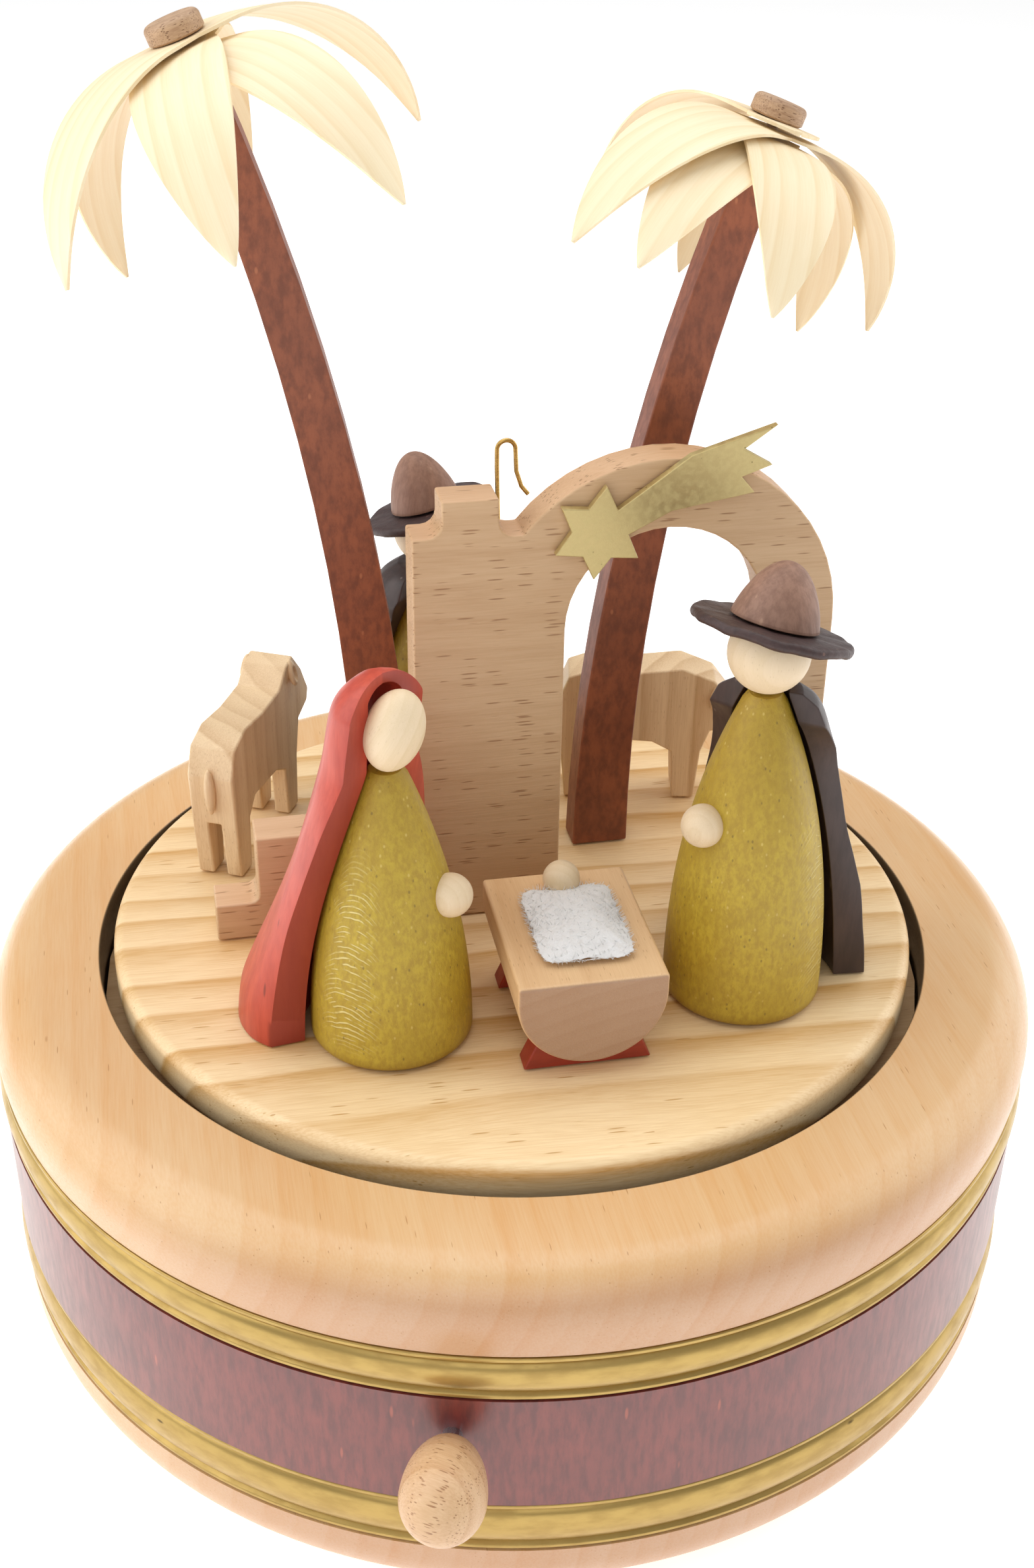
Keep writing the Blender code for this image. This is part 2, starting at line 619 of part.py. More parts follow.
def stop_place(radius):
    """A place on the stop rod's line at a distance from the drum's axis, with local Z pointing outwards."""
    x = radius * math.cos(STOP_ANGLE)
    y = radius * math.sin(STOP_ANGLE)
    return at(x, y, STOP_Z, STOP_ANGLE) @ Matrix.Rotation(math.pi / 2.0, 4, "Y")


def bead(name, low, high):
    """A gilt ring with a rounded crest between two lips."""
    middle = (low + high) / 2.0
    swell = (high - low) / 2.0 - BEAD_LIP
    rise = BEAD_CREST_RADIUS - BEAD_ROOT_RADIUS
    crest = [(BEAD_ROOT_RADIUS + rise * math.cos(math.radians(angle)),
              middle + swell * math.sin(math.radians(angle))) for angle in (80.0, 30.0, -30.0, -80.0)]
    lip = BEAD_CREST_RADIUS - 0.5 * MM
    depth = 0.8 * MM
    profile = [(DRUM_BORE, high), (lip, high), (lip, high - depth)]
    profile += crest
    profile += [(lip, low + depth), (lip, low), (DRUM_BORE, low)]
    put(name, turned(profile, ROUND_STEPS), "gold")


def base_rings():
    """The five turned rings of the drum."""
    low = UPPER_BEAD_TOP + SEAT
    side = arc((RING_FLAT_RADIUS, RING_TOP - RING_ROUNDING), RING_ROUNDING, 90.0, 0.0, 5)
    profile = [(RING_BORE, RING_TOP)]
    profile += side
    profile += [(BAND_RADIUS - 0.3 * MM, low), (RING_BORE, low)]
    put("top_ring", turned(profile, ROUND_STEPS), "maple")
    bead("upper_bead", BAND_TOP + SEAT, UPPER_BEAD_TOP)
    bead("lower_bead", FOOT_TOP + SEAT, LOWER_BEAD_TOP)
    low = LOWER_BEAD_TOP + SEAT
    band = put("red_band", turned(
        [(DRUM_BORE, BAND_TOP), (BAND_RADIUS, BAND_TOP), (BAND_RADIUS, low), (DRUM_BORE, low)],
        ROUND_STEPS), "red_stain")
    hole = rod(STOP_ROD_RADIUS + RUNNING, DRUM_BORE - 5.0 * MM, BASE_RADIUS + 5.0 * MM)
    carve(band, moved(hole, stop_place(0.0)))
    rebate = BOTTOM_BOARD_RADIUS + SEAT
    rebate_top = BOTTOM_BOARD_THICKNESS + SEAT
    profile = [(DRUM_BORE, FOOT_TOP), (BAND_RADIUS, FOOT_TOP)]
    profile += arc((BAND_RADIUS - FOOT_ROUNDING, FOOT_ROUNDING), FOOT_ROUNDING, 0.0, -90.0, 4)
    profile += [(rebate, 0.0), (rebate, rebate_top), (DRUM_BORE, rebate_top)]
    foot = put("foot_ring", turned(profile, ROUND_STEPS), "maple")
    for place in board_screw_places():
        carve(foot, moved(rod(BOARD_SCREW_RADIUS + SEAT, -1.0 * MM, BOARD_SCREW_LENGTH + SEAT, 10), place))


def board_screw_places():
    """Places of the screws that hold the bottom board."""
    places = []
    for angle in BOARD_SCREW_ANGLES:
        turn = math.radians(angle)
        places.append(at(BOARD_SCREW_CIRCLE * math.cos(turn), BOARD_SCREW_CIRCLE * math.sin(turn), 0.0))
    return places


def bottom():
    """The bottom board with the opening for the winding key, and its screws."""
    thick = BOTTOM_BOARD_THICKNESS
    board = put("bottom_board", rod(BOTTOM_BOARD_RADIUS, 0.0, thick, ROUND_STEPS), "plywood")
    carve(board, moved(rod(KEY_POCKET_RADIUS, -5.0 * MM, 20.0 * MM, 32), at(BARREL_X, BARREL_Y, 0.0)))
    head_top = 0.5 * MM + SCREW_HEAD_HEIGHT
    for number, place in enumerate(board_screw_places(), start=1):
        carve(board, moved(rod(BOARD_SCREW_RADIUS + SEAT, -1.0 * MM, BOARD_SCREW_LENGTH, 10), place))
        carve(board, moved(rod(SCREW_HEAD_RADIUS + SEAT, -1.0 * MM, head_top + SEAT, 12), place))
        put(f"bottom_screw_{number}", turned(
            [(0.0, BOARD_SCREW_LENGTH), (BOARD_SCREW_RADIUS, BOARD_SCREW_LENGTH - 2.0 * MM),
             (BOARD_SCREW_RADIUS, head_top), (SCREW_HEAD_RADIUS, head_top),
             (SCREW_HEAD_RADIUS - 0.6 * MM, 0.5 * MM), (0.0, 0.5 * MM)], 10), "steel", place)


def mount_board():
    """The board that carries the movement, its screws and the brass bush of the spindle."""
    board = put("mount_board", turned(
        [(BUSH_RADIUS + SEAT, MOUNT_BOARD_TOP), (RING_BORE - SEAT, MOUNT_BOARD_TOP),
         (RING_BORE - SEAT, MOUNT_BOARD_Z), (BUSH_RADIUS + SEAT, MOUNT_BOARD_Z)], ROUND_STEPS), "plywood")
    head = MOUNT_BOARD_TOP + SEAT
    head_top = head + SCREW_HEAD_HEIGHT
    for number, (x, y) in enumerate(MOVEMENT_SCREWS, start=1):
        hole = rod(MOVEMENT_SCREW_RADIUS + SEAT, BEDPLATE_Z - 5.0 * MM, MOUNT_BOARD_TOP + 5.0 * MM, 10)
        carve(board, moved(hole, at(x, y, 0.0)))
        put(f"movement_screw_{number}", turned(
            [(0.0, head_top), (SCREW_HEAD_RADIUS, head_top), (SCREW_HEAD_RADIUS, head),
             (MOVEMENT_SCREW_RADIUS, head), (MOVEMENT_SCREW_RADIUS, BEDPLATE_Z + SEAT),
             (0.0, BEDPLATE_Z + SEAT)], 10), "steel", at(x, y, 0.0))
    bore = SPINDLE_RADIUS + RUNNING
    bush_low = MOUNT_BOARD_Z - 3.0 * MM
    put("spindle_bush", turned(
        [(bore, head + BUSH_FLANGE), (BUSH_FLANGE_RADIUS, head + BUSH_FLANGE), (BUSH_FLANGE_RADIUS, head),
         (BUSH_RADIUS, head), (BUSH_RADIUS, bush_low), (bore, bush_low)], 20), "brass")


def comb_screw_places():
    """Where the two comb screws sit."""
    x = COMB_REAR_X + COMB_BLOCK_DEPTH / 2.0
    return [(x, COMB_LOW_Y + 7.0 * MM), (x, COMB_HIGH_Y - 7.0 * MM)]


def bedplate():
    """The cast bedplate with two bearing blocks, the comb block and the governor's bracket."""
    plate = put("bedplate", box((BEDPLATE_LOW_X, BEDPLATE_LOW_Y, BEDPLATE_Z),
                                (BEDPLATE_HIGH_X, BEDPLATE_HIGH_Y, UPPER_BEAD_TOP)), "cast_zinc")
    inside = BEDPLATE_Z + 1.0 * MM
    for y in (NEAR_BLOCK_Y, FAR_BLOCK_Y):
        carve(plate, box((BARREL_X - BLOCK_HALF_WIDTH, y, CYLINDER_Z - 3.2 * MM),
                         (BARREL_X + BLOCK_HALF_WIDTH, y + BLOCK_THICKNESS, inside)), "UNION")
    carve(plate, box((COMB_REAR_X, COMB_LOW_Y, CYLINDER_Z + COMB_THICKNESS / 2.0 + SEAT),
                     (COMB_REAR_X + COMB_BLOCK_DEPTH, COMB_HIGH_Y, inside)), "UNION")
    half = 3.0 * MM
    arm_top = GOVERNOR_ARM_Z + GOVERNOR_ARM_THICKNESS
    carve(plate, box((BRACKET_X - BRACKET_THICKNESS / 2.0, GOVERNOR_Y - half, GOVERNOR_ARM_Z),
                     (BRACKET_X + BRACKET_THICKNESS / 2.0, GOVERNOR_Y + half, inside)), "UNION")
    carve(plate, box((GOVERNOR_X - half, GOVERNOR_Y - half + 0.4 * MM, GOVERNOR_ARM_Z + 0.1 * MM),
                     (BRACKET_X + 0.4 * MM, GOVERNOR_Y + half - 0.4 * MM, arm_top)), "UNION")
    # A slot clears the top of the worm wheel
    clear = WORM_WHEEL_THICKNESS / 2.0 + 0.6 * MM
    carve(plate, box((BARREL_X - 5.0 * MM, WORM_WHEEL_Y - clear, BEDPLATE_Z - 1.0 * MM),
                     (BARREL_X + 5.0 * MM, WORM_WHEEL_Y + clear, BEDPLATE_Z + 1.2 * MM)))
    lie = Matrix.Rotation(math.pi / 2.0, 4, "X")
    axle = rod(ARBOR_RADIUS + RUNNING, -60.0 * MM, 60.0 * MM, 12)
    carve(plate, moved(axle, Matrix.Translation((BARREL_X, 0.0, CYLINDER_Z)) @ lie))
    drops = [(BARREL_X, BARREL_Y, KEY_ARBOR_RADIUS + RUNNING), (0.0, 0.0, BUSH_RADIUS + 2.0 * MM)]
    drops += [(x, y, MOVEMENT_SCREW_RADIUS + SEAT) for x, y in MOVEMENT_SCREWS]
    for x, y, radius in drops:
        hole = rod(radius, BEDPLATE_Z - 1.0 * MM, UPPER_BEAD_TOP + 1.0 * MM, 12)
        carve(plate, moved(hole, at(x, y, 0.0)))
    pivot = GOVERNOR_ARBOR_RADIUS + RUNNING
    for low, high in ((BEDPLATE_Z - 1.0 * MM, BEDPLATE_Z + 1.3 * MM), (arm_top - 1.3 * MM, arm_top + 1.0 * MM)):
        carve(plate, moved(rod(pivot, low, high, 8), at(GOVERNOR_X, GOVERNOR_Y, 0.0)))
    for x, y in comb_screw_places():
        hole = rod(COMB_SCREW_RADIUS + SEAT, CYLINDER_Z - 1.0 * MM, BEDPLATE_Z - 2.0 * MM, 8)
        carve(plate, moved(hole, at(x, y, 0.0)))


def comb():
    """The steel comb with one tooth for each note, and its two screws."""
    pitch = (COMB_HIGH_Y - COMB_LOW_Y) / NOTES
    tooth = pitch - COMB_SLOT
    root_x = COMB_TIP_X - COMB_TOOTH_LENGTH
    outline = [(COMB_REAR_X, COMB_HIGH_Y), (COMB_REAR_X, COMB_LOW_Y)]
    for note in range(NOTES):
        low = COMB_LOW_Y + COMB_SLOT / 2.0 + pitch * note
        outline += [(root_x, low), (COMB_TIP_X, low), (COMB_TIP_X, low + tooth), (root_x, low + tooth)]
    under = CYLINDER_Z - COMB_THICKNESS / 2.0
    steel = put("comb", flat(outline, COMB_THICKNESS, at(0.0, 0.0, under)), "steel")
    inside = under + COMB_THICKNESS / 2.0
    for x, y in comb_screw_places():
        head = rod(2.2 * COMB_SCREW_RADIUS, under - 1.2 * MM, inside, 10)
        shank = rod(COMB_SCREW_RADIUS, inside - 0.1 * MM, BEDPLATE_Z - 2.5 * MM, 10)
        carve(steel, moved(head, at(x, y, 0.0)), "UNION")
        carve(steel, moved(shank, at(x, y, 0.0)), "UNION")


def crown_faces(face):
    """Picks every second face of the barrel's flat crown ring."""
    middle = face.calc_center_median()
    if face.normal.z < 0.9 or middle.z < CROWN_BASE_Z - 0.1 * MM:
        return False
    return every_second(middle, CROWN_TEETH)


def spring_barrel():
    """The spring barrel: a drum with the great wheel round its top and a crown of teeth on it."""
    bore = KEY_ARBOR_RADIUS + RUNNING
    crown_in = CROWN_RADIUS - CROWN_WIDTH / 2.0
    crown_out = CROWN_RADIUS + CROWN_WIDTH / 2.0
    hub_top = GREAT_WHEEL_TOP - 1.0 * MM
    step = GREAT_WHEEL_Z + 1.0 * MM
    mesh = turned(
        [(bore, hub_top), (crown_in, hub_top), (crown_in, CROWN_BASE_Z), (crown_out, CROWN_BASE_Z),
         (crown_out, step), (BARREL_RADIUS, step), (BARREL_RADIUS, BARREL_FLOOR_Z + 1.0 * MM),
         (BARREL_RADIUS - 1.0 * MM, BARREL_FLOOR_Z), (bore, BARREL_FLOOR_Z)], 2 * CROWN_TEETH)
    toothed(mesh, crown_faces, TOOTH_HEIGHT, TOOTH_TAPER)
    mesh.transform(Matrix.Rotation(-math.pi / 2.0 - half_tooth(CROWN_TEETH), 4, "Z"))
    drum = put("spring_barrel", mesh, "brass", at(BARREL_X, BARREL_Y, 0.0))
    wheel = spur_wheel(crown_out - 1.5 * MM, SPUR_ROOT_RADIUS, GREAT_WHEEL_TEETH, GREAT_WHEEL_Z, GREAT_WHEEL_TOP)
    turn = MESH_ANGLE + math.pi - half_tooth(GREAT_WHEEL_TEETH)
    carve(drum, moved(wheel, at(BARREL_X, BARREL_Y, 0.0, turn)), "UNION")


def winding_key():
    """The key under the base: an arbor up through the barrel, with two flat wings."""
    arbor_top = UPPER_BEAD_TOP - 0.5 * MM
    collar_top = BARREL_FLOOR_Z - SEAT
    collar_low = collar_top - 1.4 * MM
    low = KEY_LOBE_Z - 2.0 * MM
    mesh = turned(
        [(0.0, arbor_top), (KEY_ARBOR_RADIUS, arbor_top), (KEY_ARBOR_RADIUS, collar_top),
         (KEY_COLLAR_RADIUS, collar_top), (KEY_COLLAR_RADIUS, collar_low), (KEY_ARBOR_RADIUS, collar_low),
         (KEY_ARBOR_RADIUS, low), (0.0, low)], 16)
    key = put("winding_key", mesh, "brass", at(BARREL_X, BARREL_Y, 0.0))
    outline = arc((KEY_LOBE_OFFSET, KEY_LOBE_Z), KEY_LOBE_RADIUS, -130.0, 130.0, 12)
    outline += arc((-KEY_LOBE_OFFSET, KEY_LOBE_Z), KEY_LOBE_RADIUS, 50.0, 310.0, 12)
    wings = flat(outline, KEY_THICKNESS, upright(BARREL_X, BARREL_Y, 0.0, 0.0, KEY_THICKNESS))
    carve(key, wings, "UNION")


def pin_cylinder():
    """The pinned cylinder on its arbor, with the pinion that the crown drives and the worm wheel."""
    pitch = CYLINDER_LENGTH / NOTES
    around = 2 * PINION_TEETH
    pinion_root = CROWN_RADIUS * PINION_TEETH / CROWN_TEETH + TOOTH_OVER_PITCH - TOOTH_HEIGHT
    pinion_high = BARREL_Y - CROWN_RADIUS + PINION_WIDTH / 2.0 - CYLINDER_START_Y
    pinion_low = pinion_high - PINION_WIDTH
    arbor_top = NEAR_BLOCK_Y + BLOCK_THICKNESS + 0.4 * MM - CYLINDER_START_Y
    arbor_end = FAR_BLOCK_Y - 0.4 * MM - CYLINDER_START_Y
    profile = [(0.0, arbor_top), (ARBOR_RADIUS, arbor_top), (ARBOR_RADIUS, pinion_high),
               (pinion_root, pinion_high), (pinion_root, pinion_low), (ARBOR_RADIUS, pinion_low),
               (ARBOR_RADIUS, 0.0), (CYLINDER_RADIUS, 0.0)]
    for note in range(NOTES):
        middle = pitch * (note + 0.5)
        profile += [(CYLINDER_RADIUS, PIN_SIZE / 2.0 - middle), (CYLINDER_RADIUS, -PIN_SIZE / 2.0 - middle)]
    profile += [(CYLINDER_RADIUS, -CYLINDER_LENGTH), (ARBOR_RADIUS, -CYLINDER_LENGTH),
                (ARBOR_RADIUS, arbor_end), (0.0, arbor_end)]
    mesh = turned(profile, around)

    def pinned(face):
        middle = face.calc_center_median()
        if middle.xy.length < CYLINDER_RADIUS * 0.98 or abs(face.normal.z) > 0.5:
            return False
        note = -middle.z / pitch - 0.5
        if abs(note - round(note)) > 0.1 or not -0.2 < note < NOTES - 0.8:
            return False
        column = math.floor(math.atan2(middle.y, middle.x) / (2.0 * math.pi) * around) % around
        return (round(note) * 7 + column * 5) % 9 == 0

    toothed(mesh, pinned, PIN_HEIGHT, 0.5)
    pinion_rim = rim_faces(PINION_TEETH, pinion_low, pinion_high)
    toothed(mesh, pinion_rim, TOOTH_HEIGHT, TOOTH_TAPER)
    # A gap of the pinion faces down to the crown; local Z lies along +Y and local Y points down
    mesh.transform(Matrix.Rotation(math.pi / 2.0 - 3.0 * half_tooth(PINION_TEETH), 4, "Z"))
    lay = Matrix.Translation((BARREL_X, CYLINDER_START_Y, CYLINDER_Z)) @ Matrix.Rotation(
        -math.pi / 2.0, 4, "X")
    obj = put("pin_cylinder", mesh, "brass", lay)
    half = WORM_WHEEL_THICKNESS / 2.0
    wheel = spur_wheel(ARBOR_RADIUS - 0.5 * MM, WORM_WHEEL_ROOT, WORM_WHEEL_TEETH, -half, half)
    # A tooth of the worm wheel faces the worm
    wheel.transform(Matrix.Rotation(-half_tooth(WORM_WHEEL_TEETH), 4, "Z"))
    along = Matrix.Translation((0.0, 0.0, WORM_WHEEL_Y - CYLINDER_START_Y))
    carve(obj, moved(wheel, lay @ along), "UNION")


def governor():
    """The worm and the fan that hold the speed, on one upright arbor."""
    top = BEDPLATE_Z + 1.0 * MM
    low = GOVERNOR_ARM_Z + GOVERNOR_ARM_THICKNESS - 1.0 * MM
    worm_high = CYLINDER_Z + WORM_HALF_LENGTH
    worm_low = CYLINDER_Z - WORM_HALF_LENGTH
    hub = 2.0 * GOVERNOR_ARBOR_RADIUS
    fan_top = FAN_Z + FAN_HEIGHT
    mesh = turned(
        [(0.0, top), (GOVERNOR_ARBOR_RADIUS, top), (GOVERNOR_ARBOR_RADIUS, worm_high),
         (WORM_CORE_RADIUS, worm_high), (WORM_CORE_RADIUS, worm_low), (GOVERNOR_ARBOR_RADIUS, worm_low),
         (GOVERNOR_ARBOR_RADIUS, fan_top), (hub, fan_top), (hub, FAN_Z), (GOVERNOR_ARBOR_RADIUS, FAN_Z),
         (GOVERNOR_ARBOR_RADIUS, low), (0.0, low)], 12)
    place = at(GOVERNOR_X, GOVERNOR_Y, 0.0)
    obj = put("governor", mesh, "brass", place)
    half = 0.4 * MM
    carve(obj, moved(box((-FAN_RADIUS, -half, FAN_Z + 0.3 * MM), (FAN_RADIUS, half, fan_top - 0.3 * MM)),
                     place), "UNION")
    pitch = 2.0 * math.pi * WORM_WHEEL_RADIUS / WORM_WHEEL_TEETH
    turns = 2.0 * (WORM_HALF_LENGTH - 0.8 * MM) / pitch
    count = round(turns * 10)
    thread = []
    for index in range(count + 1):
        angle = 2.0 * math.pi * turns * (index / count - 0.5)
        thread.append((WORM_THREAD_CIRCLE * math.cos(angle), WORM_THREAD_CIRCLE * math.sin(angle),
                       CYLINDER_Z + pitch * angle / (2.0 * math.pi)))
    carve(obj, moved(wire(thread, WORM_THREAD_RADIUS), place), "UNION")


def spindle():
    """The spindle: the wheel that the great wheel drives, and the flange under the disc."""
    flange_top = DISC_TOP - DISC_THICKNESS - SEAT
    flange_low = MOUNT_BOARD_TOP + BUSH_FLANGE + 2.0 * SEAT
    low = GREAT_WHEEL_Z - 1.0 * MM
    obj = put("turntable_spindle", turned(
        [(0.0, SPINDLE_TOP), (SPINDLE_RADIUS, SPINDLE_TOP), (SPINDLE_RADIUS, flange_top),
         (SPINDLE_FLANGE_RADIUS, flange_top), (SPINDLE_FLANGE_RADIUS, flange_low),
         (SPINDLE_RADIUS, flange_low), (SPINDLE_RADIUS, low), (0.0, low)], 24), "steel")
    wheel = spur_wheel(SPINDLE_RADIUS - 0.5 * MM, SPUR_ROOT_RADIUS, GREAT_WHEEL_TEETH, GREAT_WHEEL_Z,
                       GREAT_WHEEL_TOP)
    carve(obj, moved(wheel, at(0.0, 0.0, 0.0, MESH_ANGLE - 3.0 * half_tooth(GREAT_WHEEL_TEETH))), "UNION")


def stop():
    """The rod that brakes the governor, and the turned knob on its outer end."""
    place = stop_place(0.0)
    rod_end = KNOB_NEAR_RADIUS + 7.0 * MM
    put("stop_rod", rod(STOP_ROD_RADIUS, STOP_TIP_RADIUS, rod_end), "steel", place)
    profile = []
    for angle in (90.0, 72.0, 54.0, 36.0, 18.0, 0.0):
        turn = math.radians(angle)
        profile.append((KNOB_RADIUS * math.cos(turn), KNOB_WIDEST + (KNOB_LENGTH - KNOB_WIDEST) * math.sin(turn)))
    for fraction in (0.35, 0.65, 0.85, 1.0):
        profile.append((KNOB_RADIUS * math.sqrt(1.0 - 0.82 * fraction ** 2), KNOB_WIDEST * (1.0 - fraction)))
    bore = STOP_ROD_RADIUS + SEAT
    profile += [(bore, 0.0), (bore, 7.0 * MM + SEAT), (0.0, 7.0 * MM + SEAT)]
    profile = [(radius, height + KNOB_NEAR_RADIUS) for radius, height in profile]
    profile[0] = (0.0, profile[0][1])
    put("stop_knob", turned(profile), "knob_beech", place)


def disc():
    """The turning disc, with a bore for the spindle and a socket for the crook."""
    low = DISC_TOP - DISC_THICKNESS
    inner = DISC_RADIUS - DISC_EDGE
    bore = SPINDLE_RADIUS + SEAT
    bore_top = SPINDLE_TOP + 0.5 * MM
    profile = [(0.0, DISC_TOP)]
    profile += arc((inner, DISC_TOP - DISC_EDGE), DISC_EDGE, 90.0, 0.0, 2)
    profile += arc((inner, low + DISC_EDGE), DISC_EDGE, 0.0, -90.0, 2)
    profile += [(bore, low), (bore, bore_top), (0.0, bore_top)]
    board = put("turntable_disc", turned(profile, ROUND_STEPS), "ash")
    depth = DISC_TOP - CROOK_SOCKET - SEAT
    carve(board, moved(rod(CROOK_WIRE + SEAT, depth, DISC_TOP + 2.0 * MM, 8), at(*CROOK_FOOT, 0.0)))


def wall():
    """The arched wall, sawn with steps on its left, a pillar, a merlon and an arched opening."""
    crossing = math.degrees(math.acos((NOTCH_RIGHT_X - ARCH_OUTER_X) / ARCH_OUTER_RADIUS))
    notch_z = ARCH_OUTER_Z + ARCH_OUTER_RADIUS * math.sin(math.radians(crossing))
    outline = [(STEP_LEFT_X, FLOOR), (PILLAR_RIGHT_X, FLOOR)]
    outline += arc((OPENING_X, OPENING_Z), OPENING_RADIUS, 180.0, 0.0, 20)
    outline += [(OPENING_X + OPENING_RADIUS, FLOOR), (ARCH_OUTER_X + ARCH_OUTER_RADIUS, FLOOR)]
    outline += arc((ARCH_OUTER_X, ARCH_OUTER_Z), ARCH_OUTER_RADIUS, 0.0, crossing, 20)
    outline += arc((MERLON_RIGHT_X + SHOULDER_FILLET, notch_z + SHOULDER_FILLET), SHOULDER_FILLET,
                   -90.0, -180.0, 4)
    outline += [(MERLON_RIGHT_X, MERLON_TOP), (MERLON_LEFT_X, MERLON_TOP)]
    outline += arc((MERLON_LEFT_X - SHOULDER_FILLET, SHOULDER_TOP + SHOULDER_FILLET), SHOULDER_FILLET,
                   0.0, -90.0, 4)
    outline += [(PILLAR_LEFT_X, SHOULDER_TOP)]
    outline += arc((PILLAR_LEFT_X - SMALL_FILLET, HIGH_STEP_TOP + SMALL_FILLET), SMALL_FILLET, 0.0, -90.0, 3)
    outline += [(STEP_MIDDLE_X, HIGH_STEP_TOP)]
    outline += arc((STEP_MIDDLE_X - SMALL_FILLET, LOW_STEP_TOP + SMALL_FILLET), SMALL_FILLET, 0.0, -90.0, 3)
    outline += [(STEP_LEFT_X, LOW_STEP_TOP)]
    put("wall_arch", flat(outline, WALL_THICKNESS, upright(0.0, 0.0, 0.0, 0.0, WALL_THICKNESS)), "beech")


def comet():
    """The star with its tail, glued to the front of the wall."""
    outline = arc((COMET_X, COMET_Z), COMET_INNER_RADIUS, COMET_TURN - 30.0, COMET_TURN - 30.0, 1)[:1]
    outline += COMET_TAIL
    for index in range(11):
        radius = COMET_INNER_RADIUS if index % 2 == 0 else COMET_TIP_RADIUS
        angle = COMET_TURN + 30.0 + 30.0 * index
        outline += arc((COMET_X, COMET_Z), radius, angle, angle, 1)[:1]
    outline.pop()
    back = Matrix.Translation((0.0, -WALL_THICKNESS / 2.0 - SEAT, 0.0)) @ Matrix.Rotation(math.pi / 2.0, 4, "X")
    put("comet", flat(outline, COMET_THICKNESS, back), "comet_gold")


def crib():
    """The cradle: its block on two rockers, the fleece and the round head on top."""
    place = at(CRIB_X, CRIB_Y, 0.0, CRIB_TURN)
    radius = CRIB_WIDTH / 2.0
    round_z = CRIB_TOP - CRIB_DEPTH + radius
    outline = [(radius, CRIB_TOP), (-radius, CRIB_TOP)]
    outline += arc((0.0, round_z), radius, 180.0, 360.0, 16)
    body = put("crib_body", flat(outline, CRIB_LENGTH, upright(CRIB_X, CRIB_Y, 0.0, CRIB_TURN, CRIB_LENGTH)),
               "limewood")
    head_z = CRIB_TOP + CRIB_HEAD_RADIUS - CRIB_HEAD_SINK
    head_place = place @ Matrix.Translation((CRIB_HEAD_OFFSET_X, CRIB_HEAD_OFFSET_Y, head_z))
    carve(body, ball([CRIB_HEAD_RADIUS + SEAT] * 3, head_place))
    put("crib_head", ball([CRIB_HEAD_RADIUS] * 3, head_place), "pale_wood")
    cradle = radius + SEAT
    edge = math.degrees(math.acos(ROCKER_TOP_WIDTH / 2.0 / cradle))
    outline = [(-ROCKER_WIDTH / 2.0, FLOOR), (ROCKER_WIDTH / 2.0, FLOOR)]
    outline += arc((0.0, round_z), cradle, -edge, edge - 180.0, 8)
    for name, side in (("crib_rocker_front", -1.0), ("crib_rocker_rear", 1.0)):
        offset = place @ Matrix.Translation((0.0, side * ROCKER_SPACING / 2.0 + ROCKER_THICKNESS / 2.0, 0.0))
        put(name, flat(outline, ROCKER_THICKNESS, offset @ Matrix.Rotation(math.pi / 2.0, 4, "X")), "rocker_red")
    middle = place @ Matrix.Translation((PAD_OFFSET_X, PAD_OFFSET_Y, CRIB_TOP + SEAT))
    pad = put("fleece_pad", moved(cushion(), middle), "fleece")
    carve(pad, ball([CRIB_HEAD_RADIUS + 2.0 * SEAT] * 3, head_place))


def cushion():
    """The fleece: crowned in the middle, thin at the edges, its sides drawn in between the corners."""
    mesh = bpy.data.meshes.new("cushion")
    draft = bmesh.new()
    bmesh.ops.create_uvsphere(draft, u_segments=28, v_segments=9, radius=1.0)
    for vert in draft.verts:
        angle = math.atan2(vert.co.y, vert.co.x)
        across = abs(math.cos(angle)) / (PAD_WIDTH / 2.0)
        along = abs(math.sin(angle)) / (PAD_LENGTH / 2.0)
        reach = (across ** 6 + along ** 6) ** (-1.0 / 6.0)
        spread = min(1.0, vert.co.xy.length) ** 0.8
        drawn = 1.0 - 0.05 * (1.0 - abs(math.sin(2.0 * angle))) * spread
        crown = PAD_EDGE + (PAD_CROWN - PAD_EDGE) * (1.0 - spread ** 2)
        height = max(0.0, 0.5 + 0.5 * vert.co.z) if vert.co.z > -0.6 else 0.0
        vert.co = (reach * spread * drawn * math.cos(angle), reach * spread * drawn * math.sin(angle),
                   crown * height ** 0.7)
    bmesh.ops.recalc_face_normals(draft, faces=draft.faces)
    draft.to_mesh(mesh)
    draft.free()
    return mesh


def robe_radius(figure, z):
    """Radius of a figure's robe at a height."""
    rise = min(1.0, max(0.0, (z - FLOOR) / (figure["top"] - FLOOR)))
    return ROBE_RADIUS - (ROBE_RADIUS - ROBE_NECK_RADIUS) * rise ** figure["bulge"]


def robe(name, figure):
    """A turned robe that swells from the neck to a slightly rounded foot."""
    top = figure["top"]
    profile = [(0.0, top), (ROBE_NECK_RADIUS - 0.4 * MM, top), (ROBE_NECK_RADIUS, top - 0.5 * MM)]
    for share in (0.9, 0.8, 0.69, 0.57, 0.44, 0.3, 0.12):
        z = FLOOR + (top - FLOOR) * share
        profile.append((robe_radius(figure, z), z))
    profile += [(ROBE_RADIUS - 0.3 * MM, FLOOR + 1.0 * MM), (ROBE_RADIUS - 1.2 * MM, FLOOR), (0.0, FLOOR)]
    body = turned(profile, FIGURE_STEPS)
    return put(name, moved(body, at(figure["x"], figure["y"], 0.0)), "olive")


